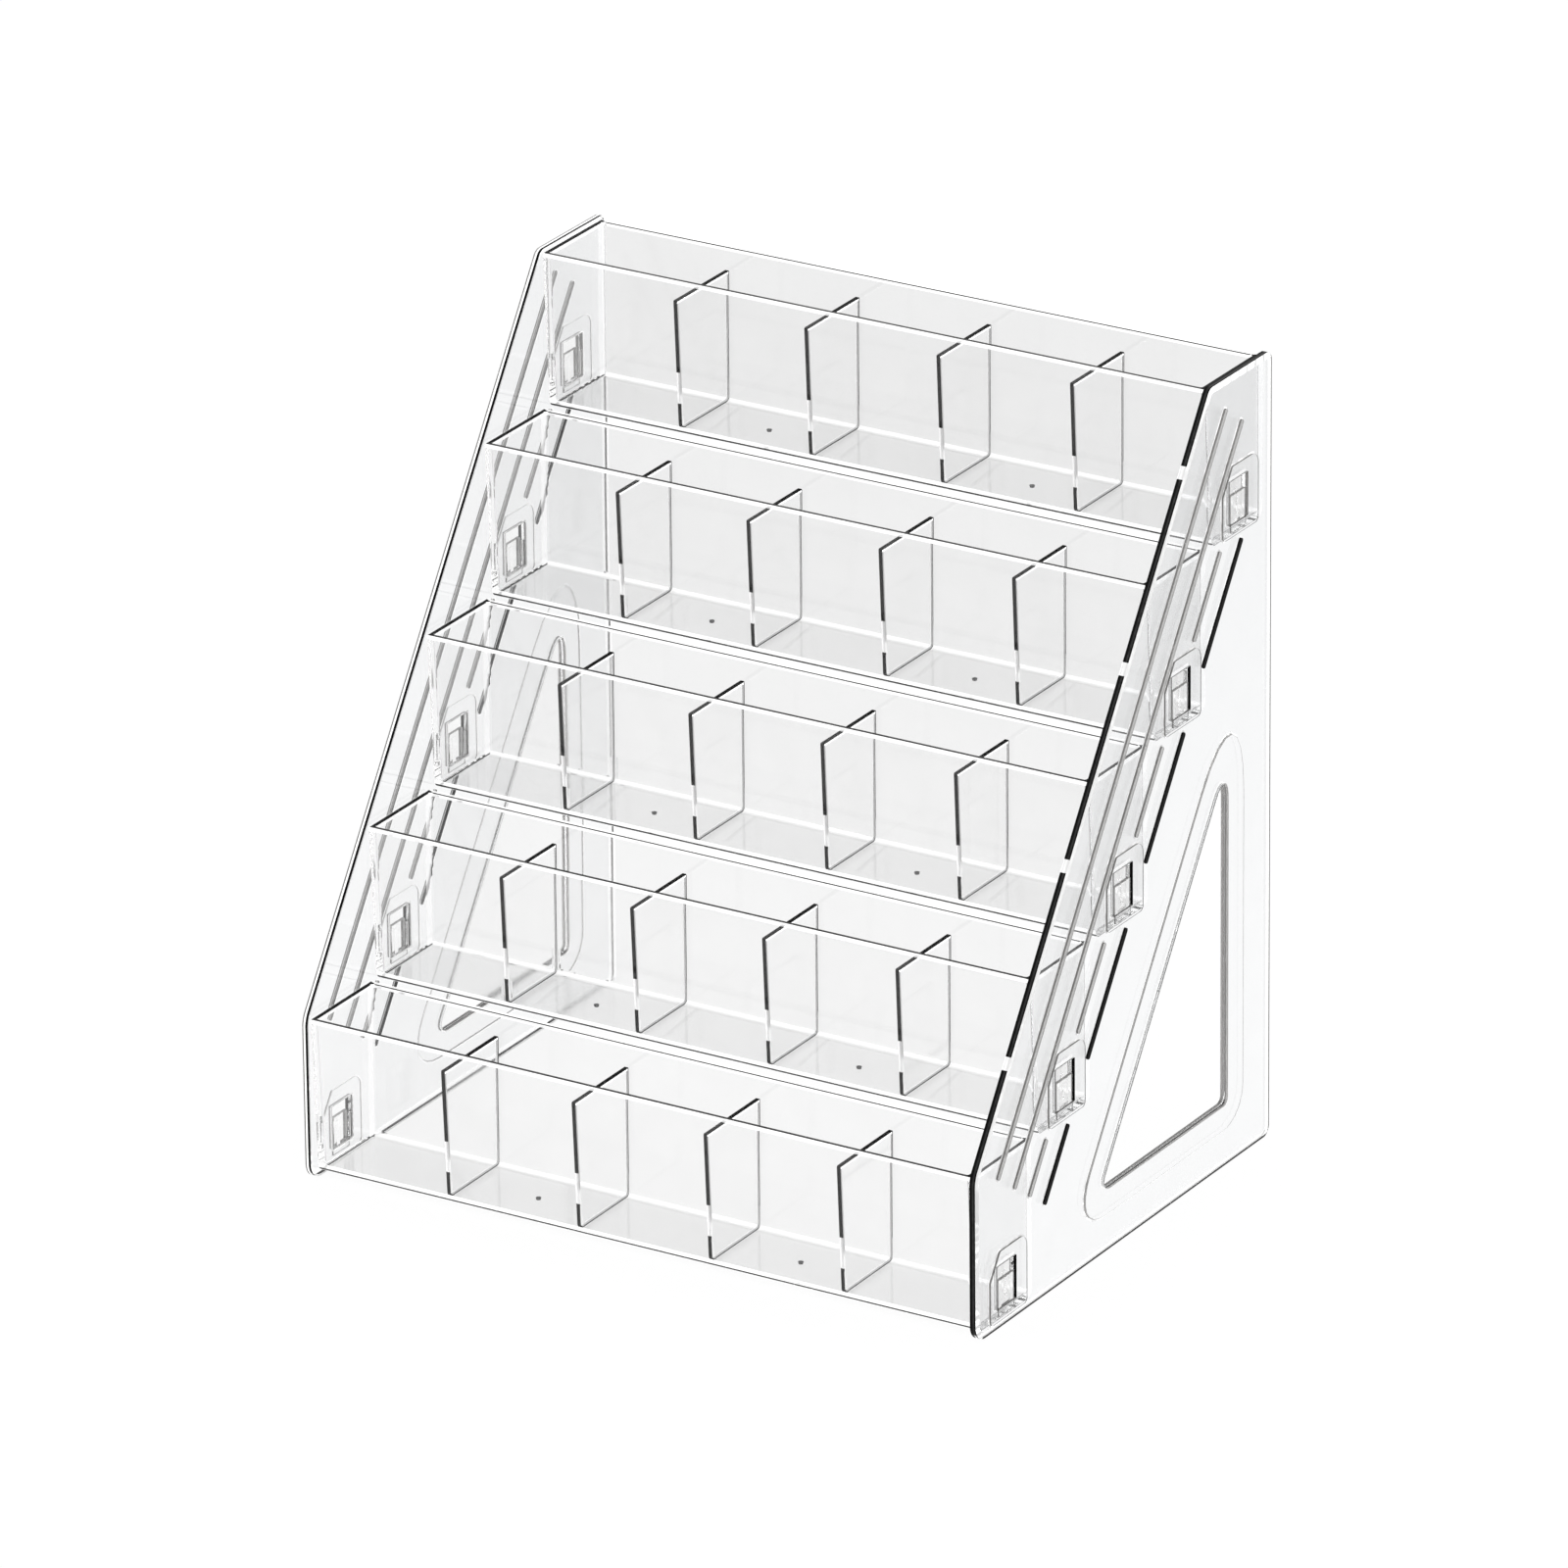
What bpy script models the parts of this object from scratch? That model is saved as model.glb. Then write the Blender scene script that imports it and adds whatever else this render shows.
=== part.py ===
"""Five-tier nail polish rack: two side panels, five stepped trays and twenty lift-out dividers.

Units are metres and +Z is up. +X runs along the trays and +Y runs to the back. The origin is on the
ground, under the middle of the rack.
"""
import math

import bmesh
import bpy
from mathutils import Matrix, Vector

# Overall sizes
RACK_WIDTH = 0.300           # over the raised beads of both side panels
TIERS = 5
COMPARTMENTS = 5             # per tray
TIER_RISE = 0.0639           # each tier stands this far above the one below
TIER_GAP = 0.00065           # between a tray's back wall and the lip of the tray above

# Trays
TRAY_HEIGHT = 0.0648
TRAY_TOP_DEPTH = 0.0430      # over the front lip and the back wall
FRONT_RAKE = 0.0034          # the foot of the front wall stands this far behind its lip
TRAY_WALL = 0.0020
TRAY_FLOOR = 0.0018
TRAY_END_WALL = 0.0020
TRAY_FOOT_RADIUS = 0.0030    # outer radius where the floor meets the front and back walls
TRAY_FILLET_MIN = 0.0005     # least inner radius there
TRAY_RIM_RADIUS = 0.0002
GATE_RADIUS = 0.0011         # moulding gate nub under the floor
GATE_HEIGHT = 0.0004
GATE_SIDES = 12

# Divider guides moulded in the trays
GUIDE_DEPTH = 0.0012
GUIDE_WIDTH = 0.0010
GUIDE_HEIGHT = 0.0100

# Dividers
DIVIDER_THICKNESS = 0.0014
DIVIDER_DROP = 0.0092        # top edge under the tray's lip
DIVIDER_FOOT_CORNER = 0.0020
DIVIDER_HEAD_CORNER = 0.0006

# Side panels
PANEL_THICKNESS = 0.0025
RELIEF = 0.0008              # height of beads, socket pads and window frame over the outer face
GROUND_GAP = 0.0025          # under the lowest tray
FRONT_MARGIN = 0.0012        # panel edge in front of the tray lips
BACK_MARGIN = 0.0040         # panel edge behind the top tray
TOP_MARGIN = 0.0012          # panel edge above the top tray
CORNER_RADIUS = 0.0040
FOOT_RADIUS = 0.0070
BEND_RADIUS = 0.0100

# Stiffening beads, all parallel to the sloped front edge
BEAD_SETBACKS = (0.0166, 0.0314, 0.0448, 0.0582)  # square to the sloped edge
BEAD_WIDTH = 0.0022
BEAD_END_ROUNDING = 0.49     # corner radius of a bead's ends, as a share of its width
BEAD_START = 0.0040          # first bead's lower end, past the bend along the slope
BEAD_END_MARGIN = 0.0120     # under the top edge
BEAD_SOCKET_GAP = 0.0035     # around a socket pad
BEAD_LEAST_RUN = 0.0080
BEADS_BEFORE_PADS = 2        # the beads nearest the slope pass in front of the socket pads

# Sockets in the side panels, placed from each tray's lip and underside
PAD_SETBACK = 0.0088
PAD_WIDTH = 0.0270
PAD_LIFT = 0.0006
PAD_HEIGHT = 0.0285
PAD_BEAD_GAP = 0.0018        # between a pad's cut corner and the bead that passes it
PAD_REAR_RADIUS = 0.0050
PAD_CUT_RADIUS = 0.0010
SOCKET_SETBACK = 0.0136
SOCKET_WIDTH = 0.0142
SOCKET_LIFT = 0.0020
SOCKET_HEIGHT = 0.0215
SILL_HEIGHT = 0.0035         # inner half of the panel left standing at the foot of the socket
SILL_THICKNESS = 0.0013

# Tray hooks, which reach through the sockets
HOOK_SIDE_PLAY = 0.0013
HOOK_HEIGHT = 0.0150
HOOK_BLADE = 0.0024

# Window in the rear of each side panel
WINDOW_SLOPE_MARGIN = 0.099  # square to the sloped front edge
WINDOW_BACK_MARGIN = 0.0338
WINDOW_FOOT_MARGIN = 0.026
WINDOW_RADII = (0.0040, 0.0030, 0.0050)  # front foot, rear foot, apex
FRAME_SLOPE = 0.0126
FRAME_BACK = 0.0123
FRAME_FOOT = 0.0105
FRAME_RADII = (0.0140, 0.0150, 0.0176)

# Clear plastic
PLASTIC_IOR = 1.49
PLASTIC_TRANSMISSION = 0.9

# Fit and mesh
CLEARANCE = 0.0003           # between pieces that touch
OVERLAP = 0.0010             # how far a shape runs into what it is joined to, or past what it cuts
ARC_STEPS = 4
MERGE_DISTANCE = 1e-6

# Values that follow from those above
TIER_RUN = TRAY_TOP_DEPTH + TIER_GAP                    # each tier stands this far behind the one below
PANEL_OUTER = RACK_WIDTH / 2 - RELIEF
PANEL_INNER = PANEL_OUTER - PANEL_THICKNESS
TRAY_HALF = PANEL_INNER - CLEARANCE
RACK_DEPTH = FRONT_MARGIN + (TIERS - 1) * TIER_RUN + TRAY_TOP_DEPTH + BACK_MARGIN
FRONT_Y = -RACK_DEPTH / 2
BACK_Y = RACK_DEPTH / 2
TOP_Z = GROUND_GAP + (TIERS - 1) * TIER_RISE + TRAY_HEIGHT + TOP_MARGIN
LIP_Z = GROUND_GAP + TRAY_HEIGHT
SLOPE = Vector((TIER_RUN, TIER_RISE)).normalized()      # up the front edge, in (y, z)
SETBACK = Vector((SLOPE.y, -SLOPE.x))                   # into the panel, square to the edge
BEND = Vector((FRONT_Y, LIP_Z))


def tray_origin(tier):
    """Outer lip y and underside z of a tray; tier 0 is the lowest."""
    return FRONT_Y + FRONT_MARGIN + tier * TIER_RUN, GROUND_GAP + tier * TIER_RISE


def divider_stations():
    """X of each divider in a tray."""
    pitch = 2 * TRAY_HALF / COMPARTMENTS
    return [(index - (COMPARTMENTS - 2) / 2) * pitch for index in range(COMPARTMENTS - 1)]


def front_y(height, offset):
    """Y behind the lip of the raked front wall at a height, offset inwards."""
    return offset + FRONT_RAKE * (1 - height / TRAY_HEIGHT)


def rounded(corners, radii):
    """Round each corner of a polygon with an arc of its own radius."""
    points = []
    for index, corner in enumerate(corners):
        before = (corners[index - 1] - corner).normalized()
        after = (corners[(index + 1) % len(corners)] - corner).normalized()
        half = before.angle(after) / 2
        centre = corner + (before + after).normalized() * radii[index] / math.sin(half)
        start = corner + before * radii[index] / math.tan(half) - centre
        end = corner + after * radii[index] / math.tan(half) - centre
        sweep = start.angle_signed(end)
        for step in range(ARC_STEPS + 1):
            turn = Matrix.Rotation(-sweep * step / ARC_STEPS, 2)
            points.append(centre + turn @ start)
    return points


def offset_corner(first, second):
    """Where two lines meet; each is a point and a direction."""
    (point_a, along_a), (point_b, along_b) = first, second
    cross = along_a.x * along_b.y - along_a.y * along_b.x
    gap = point_b - point_a
    return point_a + along_a * (gap.x * along_b.y - gap.y * along_b.x) / cross


def slab(name, outline, x_low, x_high):
    """Mesh object from a flat (y, z) outline, standing between two values of x."""
    curve = bpy.data.curves.new(name, "CURVE")
    curve.dimensions = "2D"
    curve.fill_mode = "BOTH"
    curve.extrude = (x_high - x_low) / 2
    spline = curve.splines.new("POLY")
    spline.points.add(len(outline) - 1)
    for point, place in zip(spline.points, outline):
        point.co = (place.x, place.y, 0, 1)
    spline.use_cyclic_u = True
    drawn = bpy.data.objects.new(name + "_outline", curve)
    bpy.context.scene.collection.objects.link(drawn)
    # curve x, y and depth become y, z and x
    turn = Matrix(((0, 0, 1, (x_low + x_high) / 2), (1, 0, 0, 0), (0, 1, 0, 0), (0, 0, 0, 1)))
    drawn.matrix_world = turn
    bpy.context.view_layer.update()
    evaluated = drawn.evaluated_get(bpy.context.evaluated_depsgraph_get())
    mesh = bpy.data.meshes.new_from_object(evaluated)
    mesh.transform(turn)
    bm = bmesh.new()
    bm.from_mesh(mesh)
    bmesh.ops.remove_doubles(bm, verts=bm.verts, dist=MERGE_DISTANCE)
    bmesh.ops.recalc_face_normals(bm, faces=bm.faces)
    bm.to_mesh(mesh)
    bm.free()
    bpy.data.objects.remove(drawn)
    mesh.name = name
    return bpy.data.objects.new(name, mesh)


def block(name, low, high):
    """Box between two corners."""
    mesh = bpy.data.meshes.new(name)
    size = Vector(high) - Vector(low)
    place = Matrix.Translation((Vector(low) + Vector(high)) / 2)
    bm = bmesh.new()
    bmesh.ops.create_cube(bm, size=1, matrix=place @ Matrix.Diagonal((*size, 1)))
    bm.to_mesh(mesh)
    bm.free()
    return bpy.data.objects.new(name, mesh)


def disc(name, centre, radius, height):
    """Upright cylinder."""
    mesh = bpy.data.meshes.new(name)
    bm = bmesh.new()
    bmesh.ops.create_cone(
        bm, cap_ends=True, segments=GATE_SIDES, radius1=radius, radius2=radius, depth=height,
        matrix=Matrix.Translation(centre),
    )
    bm.to_mesh(mesh)
    bm.free()
    return bpy.data.objects.new(name, mesh)


def boolean(piece, tools, operation, tool_collection):
    """Join or cut the tools, kept as wires in their own collection."""
    for tool in tools:
        tool_collection.objects.link(tool)
        tool.hide_render = True
        tool.display_type = "WIRE"
        modifier = piece.modifiers.new(tool.name, "BOOLEAN")
        modifier.operation = operation
        modifier.solver = "EXACT"
        modifier.object = tool


def across(side, near, far):
    """Low and high x of a span given as distances from the middle, on one side."""
    return tuple(sorted((side * near, side * far)))


# ---------------------------------------------------------------- side panels


def panel_outline():
    """Outer edge of a side panel."""
    top_front = BEND + SLOPE * (TOP_Z - BEND.y) / SLOPE.y
    corners = [Vector((FRONT_Y, 0)), Vector((BACK_Y, 0)), Vector((BACK_Y, TOP_Z)), top_front, BEND]
    radii = (FOOT_RADIUS, CORNER_RADIUS, CORNER_RADIUS, CORNER_RADIUS, BEND_RADIUS)
    return rounded(corners, radii)


def window_outline(grow_slope, grow_back, grow_foot, radii):
    """Three-cornered window, grown outwards on its three sides."""
    slope_line = (BEND + SETBACK * (WINDOW_SLOPE_MARGIN - grow_slope), SLOPE)
    back_line = (Vector((BACK_Y - WINDOW_BACK_MARGIN + grow_back, 0)), Vector((0, 1)))
    foot_line = (Vector((0, WINDOW_FOOT_MARGIN - grow_foot)), Vector((1, 0)))
    corners = [
        offset_corner(slope_line, foot_line),
        offset_corner(back_line, foot_line),
        offset_corner(slope_line, back_line),
    ]
    return rounded(corners, radii)


def pad_span(tier):
    """Low and high (y, z) corners of a socket pad."""
    lip_y, under_z = tray_origin(tier)
    low = Vector((lip_y + PAD_SETBACK, under_z + PAD_LIFT))
    return low, low + Vector((PAD_WIDTH, PAD_HEIGHT))


def pad_outline(tier):
    """Rectangle behind a socket, its front top corner cut along the bead that passes it."""
    low, high = pad_span(tier)
    cut = BEND + SETBACK * (BEAD_SETBACKS[BEADS_BEFORE_PADS - 1] + BEAD_WIDTH / 2 + PAD_BEAD_GAP)
    corners = [
        low, Vector((high.x, low.y)), high,
        Vector((cut.x + SLOPE.x * (high.y - cut.y) / SLOPE.y, high.y)),
        Vector((low.x, cut.y + SLOPE.y * (low.x - cut.x) / SLOPE.x)),
    ]
    return rounded(corners, (BEAD_WIDTH, BEAD_WIDTH, PAD_REAR_RADIUS, PAD_CUT_RADIUS, PAD_CUT_RADIUS))


def bead_spans(row):
    """Runs of one bead along the slope; those behind the sockets stop short of their pads."""
    first, base = (BEND + SETBACK * setback for setback in (BEAD_SETBACKS[0], BEAD_SETBACKS[row]))
    start = BEAD_START
    limit = (TOP_Z - BEAD_END_MARGIN - first.y) / SLOPE.y
    stop = min(limit, (BACK_Y - BACK_MARGIN - BEAD_END_MARGIN - base.x) / SLOPE.x)
    spans = []
    for tier in range(TIERS if row >= BEADS_BEFORE_PADS else 0):
        low, high = pad_span(tier)
        enter = max((low.x - base.x) / SLOPE.x, (low.y - base.y) / SLOPE.y)
        leave = min((high.x - base.x) / SLOPE.x, (high.y - base.y) / SLOPE.y)
        if enter >= leave or leave < start or enter > stop:
            continue
        if enter - BEAD_SOCKET_GAP - start > BEAD_LEAST_RUN:
            spans.append((start, enter - BEAD_SOCKET_GAP))
        start = leave + BEAD_SOCKET_GAP
    if stop - start > BEAD_LEAST_RUN:
        spans.append((start, stop))
    return [(base, low, high) for low, high in spans]


def bead_outline(base, low, high):
    """Round-ended bar on the panel's face."""
    half = SETBACK * BEAD_WIDTH / 2
    corners = [
        base + SLOPE * low - half, base + SLOPE * low + half,
        base + SLOPE * high + half, base + SLOPE * high - half,
    ]
    return rounded(corners, [BEAD_WIDTH * BEAD_END_ROUNDING] * 4)


def side_panel(name, side, tool_collection):
    """One side panel with its beads, sockets and window; side is -1 for left and 1 for right."""
    panel = slab(name, panel_outline(), *across(side, PANEL_INNER, PANEL_OUTER))
    relief = across(side, PANEL_OUTER - OVERLAP, PANEL_OUTER + RELIEF)
    through = across(side, PANEL_INNER - OVERLAP, PANEL_OUTER + RELIEF + OVERLAP)
    raised = [slab(f"{name}_frame", window_outline(FRAME_SLOPE, FRAME_BACK, FRAME_FOOT, FRAME_RADII), *relief)]
    for row in range(len(BEAD_SETBACKS)):
        for run, (base, low, high) in enumerate(bead_spans(row)):
            raised.append(slab(f"{name}_bead_{row}_{run}", bead_outline(base, low, high), *relief))
    cuts = [slab(f"{name}_window", window_outline(0, 0, 0, WINDOW_RADII), *through)]
    for tier in range(TIERS):
        raised.append(slab(f"{name}_pad_{tier}", pad_outline(tier), *relief))
        lip_y, under_z = tray_origin(tier)
        y_low, y_high = lip_y + SOCKET_SETBACK, lip_y + SOCKET_SETBACK + SOCKET_WIDTH
        foot, head = under_z + SOCKET_LIFT, under_z + SOCKET_LIFT + SOCKET_HEIGHT
        opening = foot + SILL_HEIGHT
        cuts.append(block(f"{name}_socket_{tier}", (through[0], y_low, opening), (through[1], y_high, head)))
        ledge = across(side, PANEL_INNER + SILL_THICKNESS, PANEL_OUTER + RELIEF + OVERLAP)
        cuts.append(block(
            f"{name}_sill_{tier}", (ledge[0], y_low, foot), (ledge[1], y_high, opening + OVERLAP),
        ))
    boolean(panel, raised, "UNION", tool_collection)
    boolean(panel, cuts, "DIFFERENCE", tool_collection)
    return panel


# ---------------------------------------------------------------------- trays


def tray_section(inset_walls, inset_floor, rise, radius):
    """Cross-section of a tray in (y, z), from its lip and underside, inset for the hollow."""
    foot = inset_floor
    head = TRAY_HEIGHT + rise
    corners = [
        Vector((front_y(foot, inset_walls), foot)), Vector((TRAY_TOP_DEPTH - inset_walls, foot)),
        Vector((TRAY_TOP_DEPTH - inset_walls, head)), Vector((front_y(head, inset_walls), head)),
    ]
    return rounded(corners, (radius, radius, TRAY_RIM_RADIUS, TRAY_RIM_RADIUS))


def moved(outline, lip_y, under_z):
    """Section moved to its tray."""
    return [point + Vector((lip_y, under_z)) for point in outline]


def divider_guides(name, lip_y, under_z):
    """Pairs of short ribs that hold the lower corners of each divider."""
    guides = []
    inner = DIVIDER_THICKNESS / 2 + CLEARANCE
    low, high = under_z + TRAY_FLOOR / 2, under_z + TRAY_FLOOR + GUIDE_HEIGHT
    front = lip_y + front_y(TRAY_FLOOR, TRAY_WALL)
    back = lip_y + TRAY_TOP_DEPTH - TRAY_WALL
    spans = {
        "front": (front - FRONT_RAKE * GUIDE_HEIGHT / TRAY_HEIGHT - TRAY_WALL / 2, front + GUIDE_DEPTH),
        "back": (back - GUIDE_DEPTH, back + TRAY_WALL / 2),
    }
    for station, x in enumerate(divider_stations()):
        for hand in (-1, 1):
            x_low, x_high = sorted((x + hand * inner, x + hand * (inner + GUIDE_WIDTH)))
            for wall, (y_low, y_high) in spans.items():
                label = f"{name}_guide_{station}_{wall}_{'left' if hand < 0 else 'right'}"
                guides.append(block(label, (x_low, y_low, low), (x_high, y_high, high)))
    return guides


def tray_hooks(name, lip_y, under_z):
    """A hook on each end wall: two blades through the socket and a plate that drops over its sill."""
    parts = []
    y_low = lip_y + SOCKET_SETBACK + HOOK_SIDE_PLAY
    y_high = y_low + SOCKET_WIDTH - 2 * HOOK_SIDE_PLAY
    foot = under_z + SOCKET_LIFT + CLEARANCE
    blade_foot = under_z + SOCKET_LIFT + SILL_HEIGHT + CLEARANCE
    head = foot + HOOK_HEIGHT
    plate_inner = PANEL_INNER + SILL_THICKNESS + CLEARANCE
    plate_outer = PANEL_OUTER + RELIEF - CLEARANCE
    for side, word in ((-1, "left"), (1, "right")):
        x_low, x_high = across(side, plate_inner, plate_outer)
        parts.append(block(f"{name}_{word}_plate", (x_low, y_low, foot), (x_high, y_high, head)))
        x_low, x_high = across(side, TRAY_HALF - TRAY_END_WALL / 2, (plate_inner + plate_outer) / 2)
        for blade, start in enumerate((y_low + CLEARANCE, y_high - HOOK_BLADE - CLEARANCE)):
            low = (x_low, start, blade_foot)
            high = (x_high, start + HOOK_BLADE, head - CLEARANCE)
            parts.append(block(f"{name}_{word}_blade_{blade}", low, high))
    return parts


def gate_nubs(name, lip_y, under_z):
    """Gate nubs under the second and the last but one compartment."""
    pitch = 2 * TRAY_HALF / COMPARTMENTS
    reach = (COMPARTMENTS - 3) / 2 * pitch
    middle = lip_y + (front_y(0, TRAY_WALL) + TRAY_TOP_DEPTH - TRAY_WALL) / 2
    centre_z = under_z - GATE_HEIGHT / 2 + TRAY_FLOOR / 4
    height = GATE_HEIGHT + TRAY_FLOOR / 2
    return [
        disc(f"{name}_gate_{word}", (side * reach, middle, centre_z), GATE_RADIUS, height)
        for side, word in ((-1, "left"), (1, "right"))
    ]


def tray(name, tier, tool_collection):
    """One open tray."""
    lip_y, under_z = tray_origin(tier)
    outer = moved(tray_section(0, 0, 0, TRAY_FOOT_RADIUS), lip_y, under_z)
    inner_radius = max(TRAY_FOOT_RADIUS - TRAY_WALL, TRAY_FILLET_MIN)
    inner = moved(tray_section(TRAY_WALL, TRAY_FLOOR, OVERLAP, inner_radius), lip_y, under_z)
    body = slab(name, outer, -TRAY_HALF, TRAY_HALF)
    hollow_half = TRAY_HALF - TRAY_END_WALL
    boolean(body, [slab(f"{name}_hollow", inner, -hollow_half, hollow_half)], "DIFFERENCE", tool_collection)
    joined = divider_guides(name, lip_y, under_z) + tray_hooks(name, lip_y, under_z)
    boolean(body, joined + gate_nubs(name, lip_y, under_z), "UNION", tool_collection)
    return body


# ------------------------------------------------------------------- dividers


def divider(name, tier, x):
    """Thin plate that stands across a tray and lifts out."""
    lip_y, under_z = tray_origin(tier)
    foot = TRAY_FLOOR + CLEARANCE
    head = TRAY_HEIGHT - DIVIDER_DROP
    back = TRAY_TOP_DEPTH - TRAY_WALL - CLEARANCE
    inset = TRAY_WALL + CLEARANCE
    corners = [
        Vector((front_y(foot, inset), foot)), Vector((back, foot)),
        Vector((back, head)), Vector((front_y(head, inset), head)),
    ]
    outline = moved(rounded(corners, [DIVIDER_FOOT_CORNER] * 2 + [DIVIDER_HEAD_CORNER] * 2), lip_y, under_z)
    return slab(name, outline, x - DIVIDER_THICKNESS / 2, x + DIVIDER_THICKNESS / 2)


# ------------------------------------------------------------------- assembly


def clear_plastic(name, colour, roughness):
    """Clear moulded plastic."""
    material = bpy.data.materials.new(name)
    material.use_nodes = True
    shader = material.node_tree.nodes["Principled BSDF"]
    shader.inputs["Base Color"].default_value = (*colour, 1)
    shader.inputs["Roughness"].default_value = roughness
    shader.inputs["Metallic"].default_value = 0
    shader.inputs["IOR"].default_value = PLASTIC_IOR
    shader.inputs["Transmission Weight"].default_value = PLASTIC_TRANSMISSION
    return material


def finish_piece(piece, material, collection, parent):
    """Dress a piece, put it in the rack's collection and under its empty."""
    piece.data.materials.clear()
    piece.data.materials.append(material)
    collection.objects.link(piece)
    piece.parent = parent


def new_collection(name):
    """Collection linked to the scene."""
    collection = bpy.data.collections.new(name)
    bpy.context.scene.collection.children.link(collection)
    return collection


def build():
    """Model the whole rack."""
    for old in list(bpy.data.objects):
        bpy.data.objects.remove(old)
    rack = new_collection("nail_polish_rack")
    tools = new_collection("rack_cutters")
    empty = bpy.data.objects.new("rack_origin", None)
    rack.objects.link(empty)
    panel_plastic = clear_plastic("panel_plastic", (0.93, 0.95, 0.96), 0.06)
    tray_plastic = clear_plastic("tray_plastic", (0.95, 0.96, 0.97), 0.05)
    divider_plastic = clear_plastic("divider_plastic", (0.96, 0.97, 0.98), 0.04)
    for side, word in ((-1, "left"), (1, "right")):
        finish_piece(side_panel(f"{word}_side_panel", side, tools), panel_plastic, rack, empty)
    for tier in range(TIERS):
        finish_piece(tray(f"tray_{tier + 1}", tier, tools), tray_plastic, rack, empty)
        for station, x in enumerate(divider_stations()):
            plate = divider(f"divider_{tier + 1}_{station + 1}", tier, x)
            finish_piece(plate, divider_plastic, rack, empty)


build()
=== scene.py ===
"""Fine meshes, finishes, light and camera for the five-tier nail polish rack.

The rack is clear moulded plastic: two side panels, five stepped trays and twenty divider plates that lift
out. Its fixed frame gives every place, and each class here models one kind of piece around the frame's
boxes. Sizes are in metres, +X runs along the trays, +Y to the back and +Z up.
"""
from __future__ import annotations

import logging
import math
from dataclasses import dataclass
from enum import Enum, IntEnum
from functools import lru_cache
from typing import Callable, Iterable, Sequence

import bmesh
import bpy
from mathutils import Matrix, Vector

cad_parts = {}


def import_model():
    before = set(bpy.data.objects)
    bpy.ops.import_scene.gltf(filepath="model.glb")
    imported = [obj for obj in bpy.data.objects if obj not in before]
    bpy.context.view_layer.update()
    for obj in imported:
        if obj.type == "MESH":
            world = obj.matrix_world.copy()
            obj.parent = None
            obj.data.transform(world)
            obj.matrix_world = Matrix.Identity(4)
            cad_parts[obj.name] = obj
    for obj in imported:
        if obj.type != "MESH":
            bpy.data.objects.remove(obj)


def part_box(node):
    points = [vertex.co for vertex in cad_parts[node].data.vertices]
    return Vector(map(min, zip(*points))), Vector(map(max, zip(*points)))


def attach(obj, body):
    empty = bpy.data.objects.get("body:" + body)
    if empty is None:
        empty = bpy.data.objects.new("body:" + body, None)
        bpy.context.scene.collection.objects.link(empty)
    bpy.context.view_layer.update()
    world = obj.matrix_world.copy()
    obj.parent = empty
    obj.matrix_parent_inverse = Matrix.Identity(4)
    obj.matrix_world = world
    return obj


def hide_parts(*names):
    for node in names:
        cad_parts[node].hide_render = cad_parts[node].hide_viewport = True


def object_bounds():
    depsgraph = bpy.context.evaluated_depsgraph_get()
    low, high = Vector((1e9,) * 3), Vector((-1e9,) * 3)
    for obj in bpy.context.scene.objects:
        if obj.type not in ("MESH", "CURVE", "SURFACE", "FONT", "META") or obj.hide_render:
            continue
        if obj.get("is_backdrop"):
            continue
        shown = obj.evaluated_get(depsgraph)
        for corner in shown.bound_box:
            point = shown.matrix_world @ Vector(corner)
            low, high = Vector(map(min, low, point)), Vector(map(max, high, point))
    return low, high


LOG = logging.getLogger("nail_polish_rack")

TIERS = 5
STATIONS = 4
RACK_BODY = "rack"
TINY = 1e-5
HALF_FACING = 0.5       # share of a normal along an axis, for a face that leans that way
MOSTLY_FACING = 0.7     # the same for a face that looks that way
ACROSS = Vector((1, 0, 0))
REARWARDS = Vector((0, 1, 0))
UP = Vector((0, 0, 1))


class Side(Enum):
    """Hand of a side panel or a tray end."""

    LEFT = -1
    RIGHT = 1

    @property
    def word(self) -> str:
        """Lower-case name, as the frame's nodes use it."""
        return self.name.lower()


# ------------------------------------------------------------------------------------------- mesh helpers


@dataclass(frozen=True)
class Corner:
    """Corner of a flat outline across X, with the radius that rounds it."""

    y: float
    z: float
    radius: float = 0.0


def tangent_length(before: Corner, corner: Corner, after: Corner) -> float:
    """Distance from a corner to where its rounding arc starts.

    Args:
        before: The corner that comes first.
        corner: The rounded corner.
        after: The corner that follows.

    Returns:
        The length to cut back along both edges.
    """
    first = Vector((before.y - corner.y, before.z - corner.z))
    second = Vector((after.y - corner.y, after.z - corner.z))
    return corner.radius / math.tan(first.angle(second) / 2)


def draw_outline(bm: bmesh.types.BMesh, corners: Sequence[Corner], x: float, arc_steps: int) -> list:
    """Draw a closed outline in the plane of one x as bare edges.

    Args:
        bm: Mesh to draw in.
        corners: Corners in order, each with its radius.
        x: Place of the plane.
        arc_steps: Segments of each rounded corner.

    Returns:
        The outline's edges.
    """
    known = set(bm.faces)
    points = [bm.verts.new((x, corner.y, corner.z)) for corner in corners]
    bm.faces.new(points)
    for index, (corner, point) in enumerate(zip(corners, points)):
        if corner.radius <= 0:
            continue
        cut = tangent_length(corners[index - 1], corner, corners[(index + 1) % len(corners)])
        bmesh.ops.bevel(bm, geom=[point], offset=cut, offset_type="OFFSET", affect="VERTICES",
                        segments=arc_steps, profile=0.5, material=-1)
    drawn = [face for face in bm.faces if face not in known]
    edges = list({edge for face in drawn for edge in face.edges})
    bmesh.ops.delete(bm, geom=drawn, context="FACES_ONLY")
    return edges


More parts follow.
